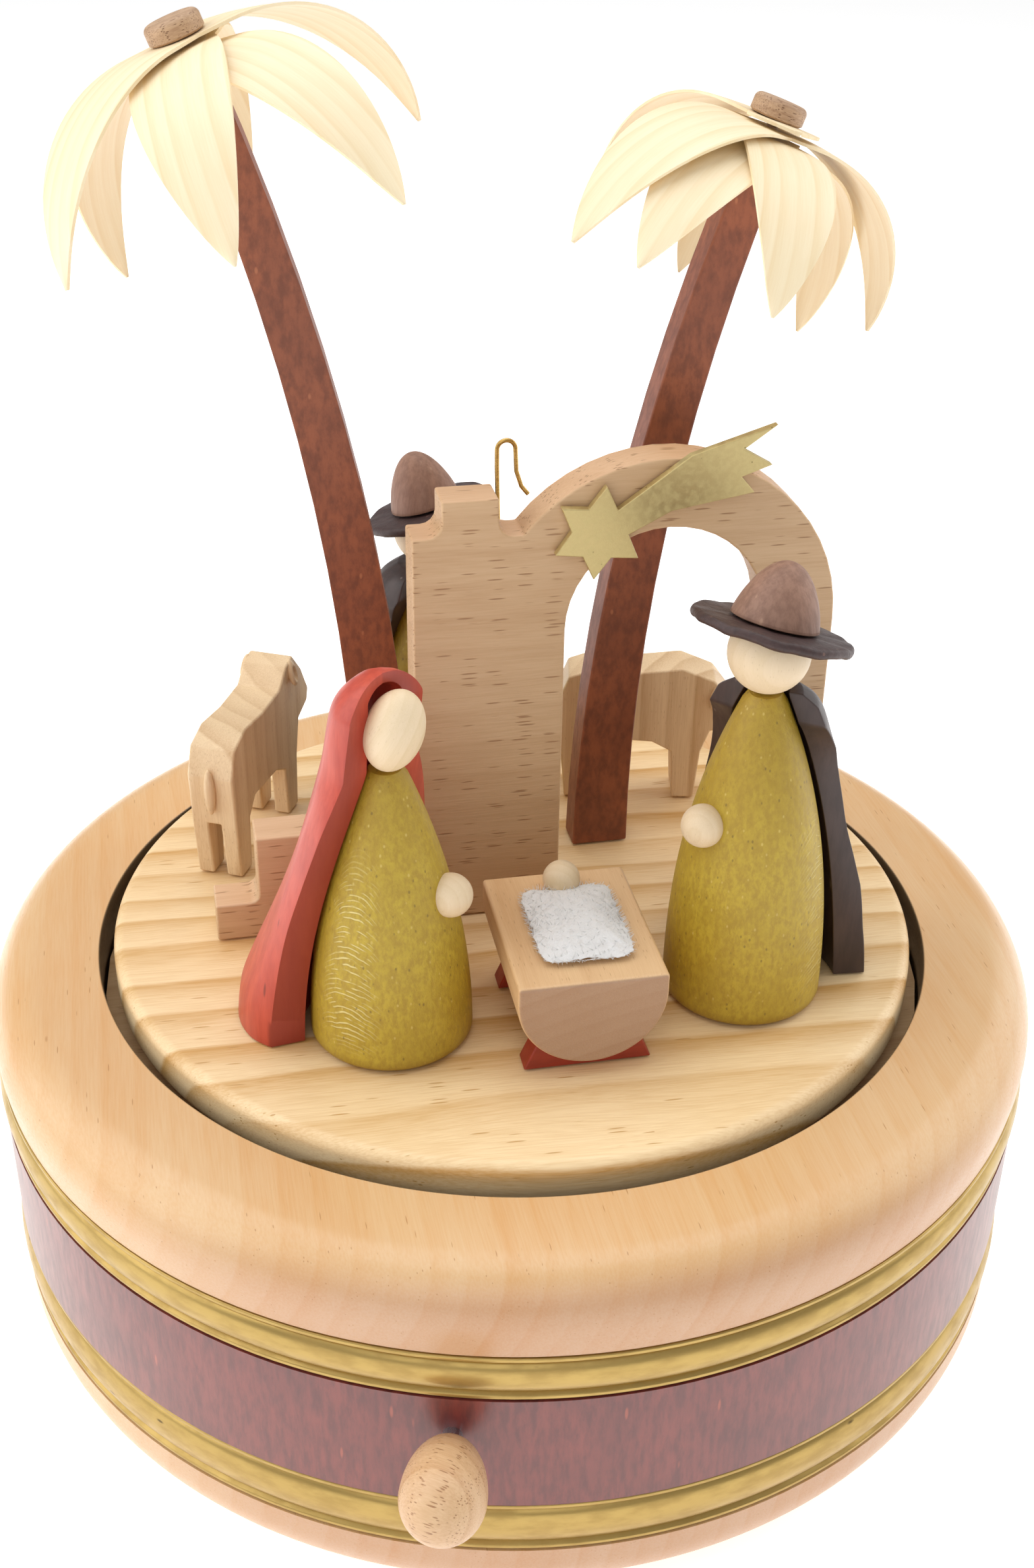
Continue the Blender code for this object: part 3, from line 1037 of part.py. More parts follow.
def hand(name, body, centre):
    """A round hand, let into the robe."""
    place = Matrix.Translation(centre)
    put(name, ball([HAND_RADIUS] * 3, place, 12, 8), "pale_wood")
    carve(body, ball([HAND_RADIUS + SEAT] * 3, place, 12, 8))


def cloak(name, figure, shape, rows, finish):
    """A carved cloak: a thick shell round the back of a robe, open at the front."""
    levels = len(rows) - 1
    tallest = rows[-1][0] * shape["tall"]
    closed = rows[-1][1] == 0.0

    def point(u, v, outside):
        height, back = rows[round(v * levels)]
        height *= shape["tall"]
        share = height / tallest
        half = shape["hem"] + (shape["top"] - shape["hem"]) * min(1.0, share * 1.1) ** shape["power"]
        side = 2.0 * u - 1.0
        angle = math.radians(shape["turn"] + half * side)
        inner = robe_radius(figure, FLOOR + height) + CLOAK_GAP + shape["flare"] * (1.0 - share) ** 2
        back = max(back * shape["scale"], inner + CLOAK_EDGE * 0.9) if height < 0.85 * tallest else back
        if closed and height > 0.8 * tallest:
            inner = min(inner, 0.6 * back)
        edge = min(back, inner + CLOAK_EDGE + CLOAK_EDGE_MORE * (1.0 - share))
        radius = edge + (back - edge) * (1.0 - abs(side) ** 3) if outside else inner
        z = FLOOR + height
        if closed and not outside and height > 0.9 * tallest:
            z -= 1.6 * MM * (height / tallest - 0.9) / 0.1
        return (figure["x"] + radius * math.cos(angle), figure["y"] + radius * math.sin(angle), z)

    mesh = sheet(CLOAK_COLUMNS, levels, lambda u, v: point(u, v, True), lambda u, v: point(u, v, False))
    return put(name, mesh, finish)


def hat(prefix, figure, shape):
    """The round head with the brim and the crown of the hat on it."""
    top = figure["top"]
    head_z = top + SEAT + HEAD_RADIUS
    centre = Matrix.Translation((figure["x"], figure["y"], head_z))
    head = put(f"{prefix}_head", ball([HEAD_RADIUS] * 3, centre), "pale_wood")
    towards = math.radians(shape["towards"])
    axis = Vector((-math.sin(towards), math.cos(towards), 0.0))
    tilt = at(figure["x"], figure["y"], top + HAT_RISE) @ Matrix.Rotation(math.radians(shape["lean"]), 4, axis)
    cut = 20.0 * MM
    carve(head, moved(box((-cut, -cut, -SEAT), (cut, cut, cut)), tilt))
    thick = BRIM_THICKNESS
    round_edge = arc((shape["brim"] - thick / 2.0, thick / 2.0), thick / 2.0, 90.0, -90.0, 4)
    brim = [(0.0, thick)]
    brim += round_edge
    brim += [(0.0, 0.0)]
    put(f"{prefix}_brim", moved(turned(brim, FIGURE_STEPS), tilt), "dark_cloak")
    low = thick + SEAT
    dome = [(0.0, low + CROWN_DOME_HEIGHT)]
    for share in (0.2, 0.45, 0.65, 0.8, 0.92):
        dome.append((shape["crown"] * share, low + CROWN_DOME_HEIGHT * (1.0 - share ** 2) ** 0.75))
    dome += [(shape["crown"], low + 0.6 * MM), (shape["crown"] - 0.3 * MM, low), (0.0, low)]
    put(f"{prefix}_crown", moved(turned(dome), tilt), "hat_brown")


def hooded_figure():
    """The hooded figure left of the cradle."""
    body = robe("hooded_robe", HOODED)
    hand("hooded_hand", body, HOODED_HAND)
    lean = Matrix.Translation(FACE_CENTRE) @ Matrix.Rotation(FACE_LEAN, 4, "Y")
    put("hooded_head", ball([FACE_HALF_WIDTH, FACE_HALF_WIDTH, FACE_HALF_HEIGHT], lean), "pale_wood")
    shell = cloak("hooded_cloak", HOODED, HOODED_CLOAK, HOOD_ROWS, "red_cloak")
    gap = 1.3 * SEAT
    carve(shell, ball([FACE_HALF_WIDTH + gap, FACE_HALF_WIDTH + gap, FACE_HALF_HEIGHT + gap], lean))


def hatted_figure():
    """The figure with the hat right of the cradle."""
    body = robe("hatted_robe", HATTED)
    hand("hatted_hand", body, HATTED_HAND)
    cloak("hatted_cloak", HATTED, HATTED_CLOAK, SHOULDER_ROWS, "dark_cloak")
    hat("hatted", HATTED, HATTED_HAT)


def herdsman():
    """The figure behind the pillar, with its crook standing in the disc."""
    robe("herdsman_robe", HERDSMAN)
    cloak("herdsman_cloak", HERDSMAN, HERDSMAN_CLOAK, SHOULDER_ROWS, "dark_cloak")
    hat("herdsman", HERDSMAN, HERDSMAN_HAT)
    centre_x = CROOK_HEAD[0] + CROOK_BEND_RADIUS
    points = [(*CROOK_FOOT, DISC_TOP - CROOK_SOCKET), (*CROOK_HEAD, CROOK_BEND_Z - 3.0 * MM)]
    points += [(x, CROOK_HEAD[1], z) for x, z in arc((centre_x, CROOK_BEND_Z), CROOK_BEND_RADIUS, 180.0, 0.0, 8)]
    end_x = centre_x + CROOK_BEND_RADIUS
    points += [(end_x + x, CROOK_HEAD[1], CROOK_BEND_Z + z) for x, z in CROOK_END]
    put("herdsman_crook", wire(points, CROOK_WIRE), "brass")


def palm_head(palm):
    """The place of a palm's head: local Z along the trunk's end, local X as near to +X as it lies."""
    lean = math.asin(palm["height"] / palm["bend"])
    turn = math.radians(palm["turn"])
    reach = palm["bend"] * (1.0 - math.cos(lean))
    axis = Vector((math.cos(turn) * math.sin(lean), math.sin(turn) * math.sin(lean), math.cos(lean)))
    first = Vector((0.0, 1.0, 0.0)).cross(axis).normalized()
    frame = Matrix((first, axis.cross(first), axis)).transposed().to_4x4()
    frame.translation = (palm["x"] + reach * math.cos(turn), palm["y"] + reach * math.sin(turn),
                         FLOOR + palm["height"])
    return frame


def palm_trunk(name, palm):
    """A trunk sawn between two arcs, narrower at the head, with the hole for the button's pin."""
    lean = math.asin(palm["height"] / palm["bend"])
    steps = 12
    left = []
    right = []
    for index in range(steps + 1):
        angle = lean * index / steps
        half = (PALM_FOOT_WIDTH + (PALM_HEAD_WIDTH - PALM_FOOT_WIDTH) * index / steps) / 2.0
        middle = palm["bend"] * (1.0 - math.cos(angle))
        height = palm["bend"] * math.sin(angle)
        left.append((middle - half * math.cos(angle), height + half * math.sin(angle)))
        right.append((middle + half * math.cos(angle), height - half * math.sin(angle)))
    right[0] = (right[0][0], 0.0)
    left[0] = (left[0][0], 0.0)
    outline = right + left[::-1]
    place = upright(palm["x"], palm["y"], FLOOR, math.radians(palm["turn"]), PALM_THICKNESS)
    trunk = put(name, flat(outline, PALM_THICKNESS, place), "palm_brown")
    hole = rod(BUTTON_PIN_RADIUS + SEAT, -BUTTON_PIN_DEPTH - SEAT, 2.0 * MM, 10)
    carve(trunk, moved(hole, palm_head(palm)))


def leaf_strip(name, head, layer, halves):
    """A veneer strip bent down on both sides of the hub, so that it makes two pointed leaves."""
    def section(run):
        first, second = halves
        azimuth, length = second if run > 0.0 else first
        share = abs(run)
        turn = math.radians(azimuth)
        along = Vector((math.cos(turn), math.sin(turn), 0.0))
        flat_share = min(0.5, LEAF_FLAT / length)
        if share * 2.0 <= 0.5:
            distance = share * 4.0 * flat_share * length
        else:
            distance = LEAF_FLAT + (share - 0.25) / 0.75 * (length - LEAF_FLAT)
        bend = max(0.0, distance - LEAF_FLAT) / LEAF_BEND
        outline = math.sin(math.pi * (LEAF_ROOT + (1.0 - LEAF_ROOT) * distance / length))
        half = LEAF_HALF_WIDTH * max(0.0, outline) ** 0.8 if share < 1.0 else 0.0
        reach = min(distance, LEAF_FLAT) + LEAF_BEND * math.sin(bend)
        middle = along * reach - Vector((0.0, 0.0, LEAF_BEND * (1.0 - math.cos(bend))))
        normal = Vector((0.0, 0.0, math.cos(bend))) + along * math.sin(bend)
        side = Vector((-along.y, along.x, 0.0)) * (1.0 if run > 0.0 else -1.0)
        if share == 0.0:
            other = math.radians(second[0])
            side = (side + Vector((-math.sin(other), math.cos(other), 0.0))).normalized()
        return middle, normal, side, half

    base = Vector((0.0, 0.0, SEAT + layer * LEAF_PITCH))

    def face(u, v, lift):
        middle, normal, side, half = section(round((2.0 * u - 1.0) * 1000.0) / 1000.0)
        return base + middle + normal * lift + side * half * (2.0 * v - 1.0)

    mesh = sheet(2 * LEAF_STEPS, 2, lambda u, v: face(u, v, LEAF_THICKNESS), lambda u, v: face(u, v, 0.0))
    strip = put(name, moved(mesh, head), "veneer")
    hole = rod(BUTTON_PIN_RADIUS + SEAT, -1.0 * MM, 10.0 * MM, 10)
    carve(strip, moved(hole, head))


def palm(side, shape, leaves):
    """A palm: trunk, crossed leaf strips and the turned button that pins them down."""
    palm_trunk(f"{side}_palm_trunk", shape)
    head = palm_head(shape)
    for layer, halves in enumerate(leaves):
        leaf_strip(f"{side}_palm_leaves_{layer + 1}", head, layer, halves)
    low = SEAT + len(leaves) * LEAF_PITCH
    profile = [(0.0, low + BUTTON_HEIGHT)]
    profile += arc((BUTTON_RADIUS - BUTTON_ROUNDING, low + BUTTON_HEIGHT - BUTTON_ROUNDING), BUTTON_ROUNDING,
                   90.0, 0.0, 3)
    profile += [(BUTTON_RADIUS, low + 0.3 * MM), (BUTTON_RADIUS - 0.4 * MM, low), (BUTTON_PIN_RADIUS, low),
                (BUTTON_PIN_RADIUS, -BUTTON_PIN_DEPTH), (0.0, -BUTTON_PIN_DEPTH)]
    put(f"{side}_palm_button", moved(turned(profile), head), "veneer")


def animal(name, shape, head):
    """An animal sawn from a plank, its legs parted by a slot."""
    outline = [(x * MM, z * MM) for x, z in ANIMAL_LEGS + head + ANIMAL_BACK]
    turn = math.radians(shape["turn"])
    place = upright(shape["x"], shape["y"], FLOOR, turn, ANIMAL_THICKNESS)
    body = put(name, flat(outline, ANIMAL_THICKNESS, place), "limewood")
    long = 40.0 * MM
    slot = box((-long, -LEG_SLOT / 2.0, -5.0 * MM), (long, LEG_SLOT / 2.0, LEG_SLOT_HEIGHT))
    carve(body, moved(slot, at(shape["x"], shape["y"], FLOOR, turn)))


def main():
    start_scene()
    carry("base_frame", (0.0, 0.0, 0.0))
    base_rings()
    bottom()
    mount_board()
    bedplate()
    comb()
    carry("barrel_axis", (BARREL_X, BARREL_Y, BARREL_FLOOR_Z))
    spring_barrel()
    carry("key_axis", (BARREL_X, BARREL_Y, KEY_LOBE_Z))
    winding_key()
    carry("cylinder_axis", (BARREL_X, 0.0, CYLINDER_Z))
    pin_cylinder()
    carry("governor_axis", (GOVERNOR_X, GOVERNOR_Y, CYLINDER_Z))
    governor()
    carry("stop_line", stop_place(STOP_TIP_RADIUS).translation)
    stop()
    carry("turntable_axis", (0.0, 0.0, DISC_TOP - DISC_THICKNESS))
    spindle()
    disc()
    wall()
    comet()
    crib()
    hooded_figure()
    hatted_figure()
    herdsman()
    palm("left", LEFT_PALM, LEFT_LEAVES)
    palm("right", RIGHT_PALM, RIGHT_LEAVES)
    animal("left_animal", LEFT_ANIMAL, RAISED_HEAD)
    animal("right_animal", RIGHT_ANIMAL, LOWERED_HEAD)


main()
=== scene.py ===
"""Music box with a turning disc: its dressed pieces, their finishes and the stage, made on the packed frame.

Every length is in metres, in the frame's own axes: Z is up, and the arched wall on the disc runs along X.
"""

import math

import bmesh
import bpy
from bpy.props import FloatProperty, FloatVectorProperty, IntProperty, PointerProperty
from mathutils import Matrix, Vector, noise


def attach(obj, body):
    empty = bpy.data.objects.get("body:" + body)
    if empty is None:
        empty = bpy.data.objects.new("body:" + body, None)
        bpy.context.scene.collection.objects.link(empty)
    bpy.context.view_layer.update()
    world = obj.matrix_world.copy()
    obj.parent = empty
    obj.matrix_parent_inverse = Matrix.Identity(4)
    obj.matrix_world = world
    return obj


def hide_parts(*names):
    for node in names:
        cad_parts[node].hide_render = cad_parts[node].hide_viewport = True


bl_info = {
    "name": "Turning music box",
    "version": (1, 0, 0),
    "blender": (4, 5, 0),
    "location": "3D View > Sidebar > Music box",
    "description": "Makes the wooden drum, the scene on its disc, and their finishes",
    "category": "Add Mesh",
}

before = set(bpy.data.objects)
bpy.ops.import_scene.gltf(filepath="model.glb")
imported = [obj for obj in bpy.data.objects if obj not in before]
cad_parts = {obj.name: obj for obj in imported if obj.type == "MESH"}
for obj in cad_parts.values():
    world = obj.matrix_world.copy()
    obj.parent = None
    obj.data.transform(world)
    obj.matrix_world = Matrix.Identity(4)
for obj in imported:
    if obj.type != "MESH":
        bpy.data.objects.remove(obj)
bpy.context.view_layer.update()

MM = 0.001
SEAT = 0.3 * MM              # gap under a piece that stands on another one
FLOOR = 70.3 * MM            # height at which the carved pieces stand
DRUM_BORE = 66.0 * MM        # radius inside the foot ring, the beads and the band
STOP_ANGLE = math.radians(253.2)
SCENE_MIDDLE = Vector((0.0, 0.0, 90.0 * MM))
HOODED = {"x": -25.9 * MM, "y": -31.1 * MM, "top": 117.2 * MM, "bulge": 2.0}
HATTED = {"x": 32.0 * MM, "y": -30.6 * MM, "top": 124.0 * MM, "bulge": 2.4}
HERDSMAN = {"x": -8.5 * MM, "y": 34.5 * MM, "top": 120.0 * MM, "bulge": 2.4}
CRIB_PLACE = Matrix.Translation((2.4 * MM, -34.3 * MM, 0.0)) @ Matrix.Rotation(math.radians(-0.5), 4, "Z")
UPRIGHT = (0.0, math.pi / 2.0, 0.0)          # turns a board's grain so that it runs along Z
DEPTHWISE = (0.0, 0.0, -math.pi / 2.0)       # and along Y


def srgb(red, green, blue):
    """A colour given as 0 to 255 on a screen, as Blender's linear values."""
    values = []
    for part in (red, green, blue):
        share = part / 255.0
        values.append(share / 12.92 if share <= 0.04045 else ((share + 0.055) / 1.055) ** 2.4)
    return tuple(values)


def colour(name, description, red, green, blue):
    """A colour that the sidebar shows."""
    return FloatVectorProperty(name=name, description=description, subtype="COLOR", size=3, min=0.0, max=1.0,
                               default=srgb(red, green, blue))


def length(name, description, default):
    """A length that the sidebar shows."""
    return FloatProperty(name=name, description=description, unit="LENGTH", min=0.0, precision=5, default=default)


class DrumSettings(bpy.types.PropertyGroup):
    """Sizes and colours of the drum and its disc."""
    facets: IntProperty(name="Facets", description="Facets round the large rings", default=192, min=24, max=360)
    edge_round: length("Edge rounding", "Rounding of the small edges of the rings", 0.4 * MM)
    maple: colour("Maple", "Turned rings", 224, 188, 142)
    gilt: colour("Gilt", "The two gilt beads", 188, 158, 92)
    stain: colour("Red stain", "The band between the beads", 136, 62, 54)
    ash: colour("Ash", "The turning disc", 250, 222, 176)
    knob: colour("Knob", "The turned stop knob", 226, 190, 148)


class FigureSettings(bpy.types.PropertyGroup):
    """Sizes and colours of the turned figures."""
    facets: IntProperty(name="Facets", description="Facets round the figures", default=96, min=16, max=192)
    robe: colour("Robe", "Olive stain of the robes", 196, 168, 52)
    red_cloak: colour("Red cloak", "Cloak of the hooded figure", 206, 82, 60)
    dark_cloak: colour("Dark cloak", "Cloaks of the other two figures", 72, 54, 50)
    hat: colour("Hat", "Crowns of the hats", 160, 122, 102)
    brim: colour("Brim", "Brims of the hats", 70, 47, 44)
    pale: colour("Pale wood", "Heads and hands", 238, 216, 184)


class SceneSettings(bpy.types.PropertyGroup):
    """Sizes and colours of the wall, the cradle, the palms and the animals."""
    wall_round: length("Wall rounding", "Rounding of the wall's edges", 0.6 * MM)
    leaf_thickness: length("Leaf thickness", "Thickness of the bent strips", 0.45 * MM)
    leaf_width: length("Leaf width", "Half width of a leaf", 7.3 * MM)
    wall: colour("Beech", "The arched wall", 214, 180, 140)
    comet: colour("Comet", "The comet's metallic paint", 194, 174, 120)
    lime: colour("Limewood", "The cradle", 234, 198, 152)
    rocker: colour("Rockers", "Red stain of the rockers", 172, 54, 30)
    palm: colour("Palm brown", "Stain of the trunks", 152, 84, 52)
    veneer: colour("Veneer", "The leaves", 250, 234, 200)
    plank: colour("Plank", "The animals", 240, 214, 174)
    fleece: colour("Fleece", "The white fleece", 240, 240, 240)


class StageSettings(bpy.types.PropertyGroup):
    """The floor, the lights and the camera."""
    floor: colour("Floor", "The pale floor", 244, 244, 244)
    light: FloatProperty(name="Light", description="Strength of the studio lights", default=1.0, min=0.0, max=10.0)
    lens: FloatProperty(name="Lens", description="Focal length in millimetres", default=42.39, min=1.0, max=300.0)
    camera: FloatVectorProperty(name="Camera", description="Place of the camera", subtype="TRANSLATION", size=3,
                                unit="LENGTH", default=(-0.0561, -0.2641, 0.252))


# Meshes

def turned(profile, steps, place=None):
    """A closed shape spun about Z from (radius, height) points, then placed."""
    draft = bmesh.new()
    ring = [draft.verts.new((radius, 0.0, height)) for radius, height in profile]
    line = [draft.edges.new(pair) for pair in zip(ring, ring[1:])]
    if profile[0][0] > 0.0 or profile[-1][0] > 0.0:
        line.append(draft.edges.new((ring[-1], ring[0])))
    bmesh.ops.spin(draft, geom=ring + line, cent=(0.0, 0.0, 0.0), axis=(0.0, 0.0, 1.0), angle=2.0 * math.pi,
                   steps=steps, use_merge=True)
    return finished(draft, place)


def finished(draft, place=None):
    """The mesh of a draft: doubles merged, faces turned outwards, put in its place."""
    bmesh.ops.remove_doubles(draft, verts=draft.verts, dist=0.0005 * MM)
    bmesh.ops.recalc_face_normals(draft, faces=draft.faces)
    mesh = bpy.data.meshes.new("piece")
    draft.to_mesh(mesh)
    draft.free()
    if place is not None:
        mesh.transform(place)
    return mesh


def arc(centre, radius, start, end, count):
    """Points on an arc, both ends included; angles in degrees."""
    angles = [math.radians(start + (end - start) * index / count) for index in range(count + 1)]
    return [(centre[0] + radius * math.cos(angle), centre[1] + radius * math.sin(angle)) for angle in angles]


def ball(radii, place, columns=48, rows=32):
    """A ball or egg with the given half sizes."""
    draft = bmesh.new()
    bmesh.ops.create_uvsphere(draft, u_segments=columns, v_segments=rows, radius=1.0)
    bmesh.ops.transform(draft, matrix=place @ Matrix.Diagonal((*radii, 1.0)), verts=draft.verts)
    return finished(draft)


def rounded(draft, width, segments, sharpness=25.0):
    """Rounds every edge of a draft that is sharper than an angle in degrees."""
    limit = math.radians(sharpness)
    edges = [edge for edge in draft.edges if edge.is_manifold and edge.calc_face_angle(0.0) > limit]
    bmesh.ops.bevel(draft, geom=edges, offset=width, offset_type="OFFSET", segments=segments, profile=0.5,
                    affect="EDGES", clamp_overlap=True, material=-1)


def softened(node, width, segments=3):
    """A copy of a sawn CAD node: its loose triangles merged to whole faces, and its edges rounded."""
    draft = bmesh.new()
    draft.from_mesh(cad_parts[node].data)
    bmesh.ops.remove_doubles(draft, verts=draft.verts, dist=0.002 * MM)
    bmesh.ops.dissolve_limit(draft, angle_limit=math.radians(0.8), verts=draft.verts, edges=draft.edges)
    rounded(draft, width, segments)
    return finished(draft)


def doubled(draft, faces):
    """Extrudes faces, keeps them as they are, and returns the corners of the new side."""
    grown = bmesh.ops.extrude_face_region(draft, geom=faces, use_keep_orig=True)["geom"]
    return [item for item in grown if isinstance(item, bmesh.types.BMVert)]


def sawn(outline, thickness, place, width, segments):
    """A board sawn to an outline in X and Z, its thickness centred on Y, its edges rounded, then placed."""
    draft = bmesh.new()
    ring = [draft.verts.new((x, -thickness / 2.0, z)) for x, z in outline]
    front = bmesh.ops.contextual_create(draft, geom=ring)["faces"]
    bmesh.ops.translate(draft, vec=(0.0, thickness, 0.0), verts=doubled(draft, front))
    bmesh.ops.recalc_face_normals(draft, faces=draft.faces)
    rounded(draft, width, segments)
    return finished(draft, place)


def sheet(columns, rows, outer, inner, unwrap=None):
    """The draft of a closed thick sheet: outer(u, v) and inner(u, v) give its sides, unwrap(u, v) a leaf's UV map."""
    draft = bmesh.new()
    bmesh.ops.create_grid(draft, x_segments=columns, y_segments=rows, size=0.5)
    layer = draft.loops.layers.uv.new("leaf") if unwrap else None
    marks = {vert: (vert.co.x + 0.5, vert.co.y + 0.5) for vert in draft.verts}
    if unwrap:
        for part in draft.faces:
            for loop in part.loops:
                loop[layer].uv = unwrap(*marks[loop.vert])
    kept = list(draft.verts)
    for vert in doubled(draft, draft.faces[:]):
        vert.co = inner(vert.co.x + 0.5, vert.co.y + 0.5)
    for vert in kept:
        vert.co = outer(*marks[vert])
    return draft


def tube(points, radius):
    """A round wire along points."""
    curve = bpy.data.curves.new("wire", "CURVE")
    curve.dimensions = "3D"
    curve.bevel_depth = radius
    curve.bevel_resolution = 4
    curve.use_fill_caps = True
    line = curve.splines.new("POLY")
    line.points.add(len(points) - 1)
    for point, co in zip(line.points, points):
        point.co = (*co, 1.0)
    obj = bpy.data.objects.new("wire", curve)
    bpy.context.scene.collection.objects.link(obj)
    graph = bpy.context.evaluated_depsgraph_get()
    mesh = bpy.data.meshes.new_from_object(obj.evaluated_get(graph), depsgraph=graph)
    bpy.data.objects.remove(obj, do_unlink=True)
    draft = bmesh.new()
    draft.from_mesh(mesh)
    return finished(draft)


def joined(*meshes):
    """Several closed meshes as one."""
    draft = bmesh.new()
    for mesh in meshes:
        draft.from_mesh(mesh)
    made = bpy.data.meshes.new("piece")
    draft.to_mesh(made)
    draft.free()
    return made


def between(rows, share):
    """A smooth curve through the rows of a table, read at a share of its length."""
    spot = share * (len(rows) - 1)
    index = min(int(spot), len(rows) - 2)
    t = spot - index
    before = rows[max(index - 1, 0)]
    after = rows[min(index + 2, len(rows) - 1)]
    result = []
    for p0, p1, p2, p3 in zip(before, rows[index], rows[index + 1], after):
        result.append(0.5 * (2.0 * p1 + (p2 - p0) * t + (2.0 * p0 - 5.0 * p1 + 4.0 * p2 - p3) * t * t
                             + (3.0 * p1 - p0 - 3.0 * p2 + p3) * t ** 3))
    return result


def put(node, craft, mesh, finish, body="turntable", angle=35.0, even=False, name=None):
    """Adds a finished mesh that stands for a node and moves with its body, named node_craft unless name is given."""
    obj = bpy.data.objects.new(name or f"{node}_{craft}", mesh)
    bpy.context.scene.collection.objects.link(obj)
    mesh.shade_smooth()
    mesh.set_sharp_from_angle(angle=math.radians(angle))
    mesh.materials.clear()
    mesh.materials.append(finish)
    if even:
        weigh = obj.modifiers.new("even shading", "WEIGHTED_NORMAL")
        weigh.keep_sharp = True
    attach(obj, body)
    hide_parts(node)
    return obj


def put_sawn(node, mesh, finish):
    """Adds a sawn piece of the disc's scene, with even shading on its flat faces."""
    put(node, "sawn", mesh, finish, angle=40.0, even=True)


# Nodes of the finishes

def add(tree, kind, inputs=None, **settings):
    """Adds a node; inputs gives each socket a value, or the socket that feeds it."""
    made = tree.nodes.new(kind)
    for key, value in settings.items():
        setattr(made, key, value)
    for key, value in (inputs or {}).items():
        socket = made.inputs[key]
        if isinstance(value, bpy.types.NodeSocket):
            tree.links.new(value, socket)
        elif socket.type == "RGBA":
            socket.default_value = (*value[:3], 1.0)
        else:
            socket.default_value = value
    return made


def maths(tree, operation, *values):
    """A Math node on values or sockets."""
    return add(tree, "ShaderNodeMath", dict(enumerate(values)), operation=operation).outputs[0]


def product(tree, first, second):
    """Two values or sockets multiplied."""
    return maths(tree, "MULTIPLY", first, second)


def vectors(tree, operation, *values, **named):
    """A Vector Math node; a length and a dot product come out as a number, all else as a vector."""
    made = add(tree, "ShaderNodeVectorMath", {**dict(enumerate(values)), **named}, operation=operation)
    return made.outputs["Value" if operation in ("LENGTH", "DOT_PRODUCT") else "Vector"]


def mixed(tree, factor, first, second, mode="MIX"):
    """A mix of two colours."""
    made = add(tree, "ShaderNodeMix", {0: factor, 6: first, 7: second}, data_type="RGBA", blend_type=mode)
    return made.outputs[2]


def stepped(tree, value, low, high, start=0.0, end=1.0):
    """A smooth step from start to end while the value goes from low to high."""
    made = add(tree, "ShaderNodeMapRange", {0: value, 1: low, 2: high, 3: start, 4: end},
               interpolation_type="SMOOTHSTEP")
    return made.outputs[0]


def stretched(tree, vector, scale):
    """A vector with each axis multiplied by its own number."""
    return vectors(tree, "MULTIPLY", vector, scale)


def clouds(tree, vector, scale, detail=2.0, roughness=0.5):
    """A noise from 0 to 1."""
    return add(tree, "ShaderNodeTexNoise", {"Vector": vector, "Scale": scale, "Detail": detail,
                                            "Roughness": roughness}).outputs[0]


def dots(tree, vector, scale, low, high):
    """One soft dot in each cell, 1 within low and 0 beyond high, and the chance number of the cell."""
    cells = add(tree, "ShaderNodeTexVoronoi", {"Vector": vector, "Scale": scale}).outputs
    chance = add(tree, "ShaderNodeSeparateColor", {0: cells["Color"]}).outputs[0]
    return stepped(tree, cells["Distance"], low, high, 1.0, 0.0), chance


def group(name, numbers, results):
    """A new node group that takes a vector and numbers and puts out masks: its tree, inputs and results."""
    tree = bpy.data.node_groups.new(name, "ShaderNodeTree")
    tree.interface.new_socket(name="Vector", in_out="INPUT", socket_type="NodeSocketVector")
    for label, value in numbers.items():
        socket = tree.interface.new_socket(name=label, in_out="INPUT", socket_type="NodeSocketFloat")
        socket.default_value = value
    for label in results:
        tree.interface.new_socket(name=label, in_out="OUTPUT", socket_type="NodeSocketFloat")
    return tree, tree.nodes.new("NodeGroupInput").outputs, tree.nodes.new("NodeGroupOutput").inputs


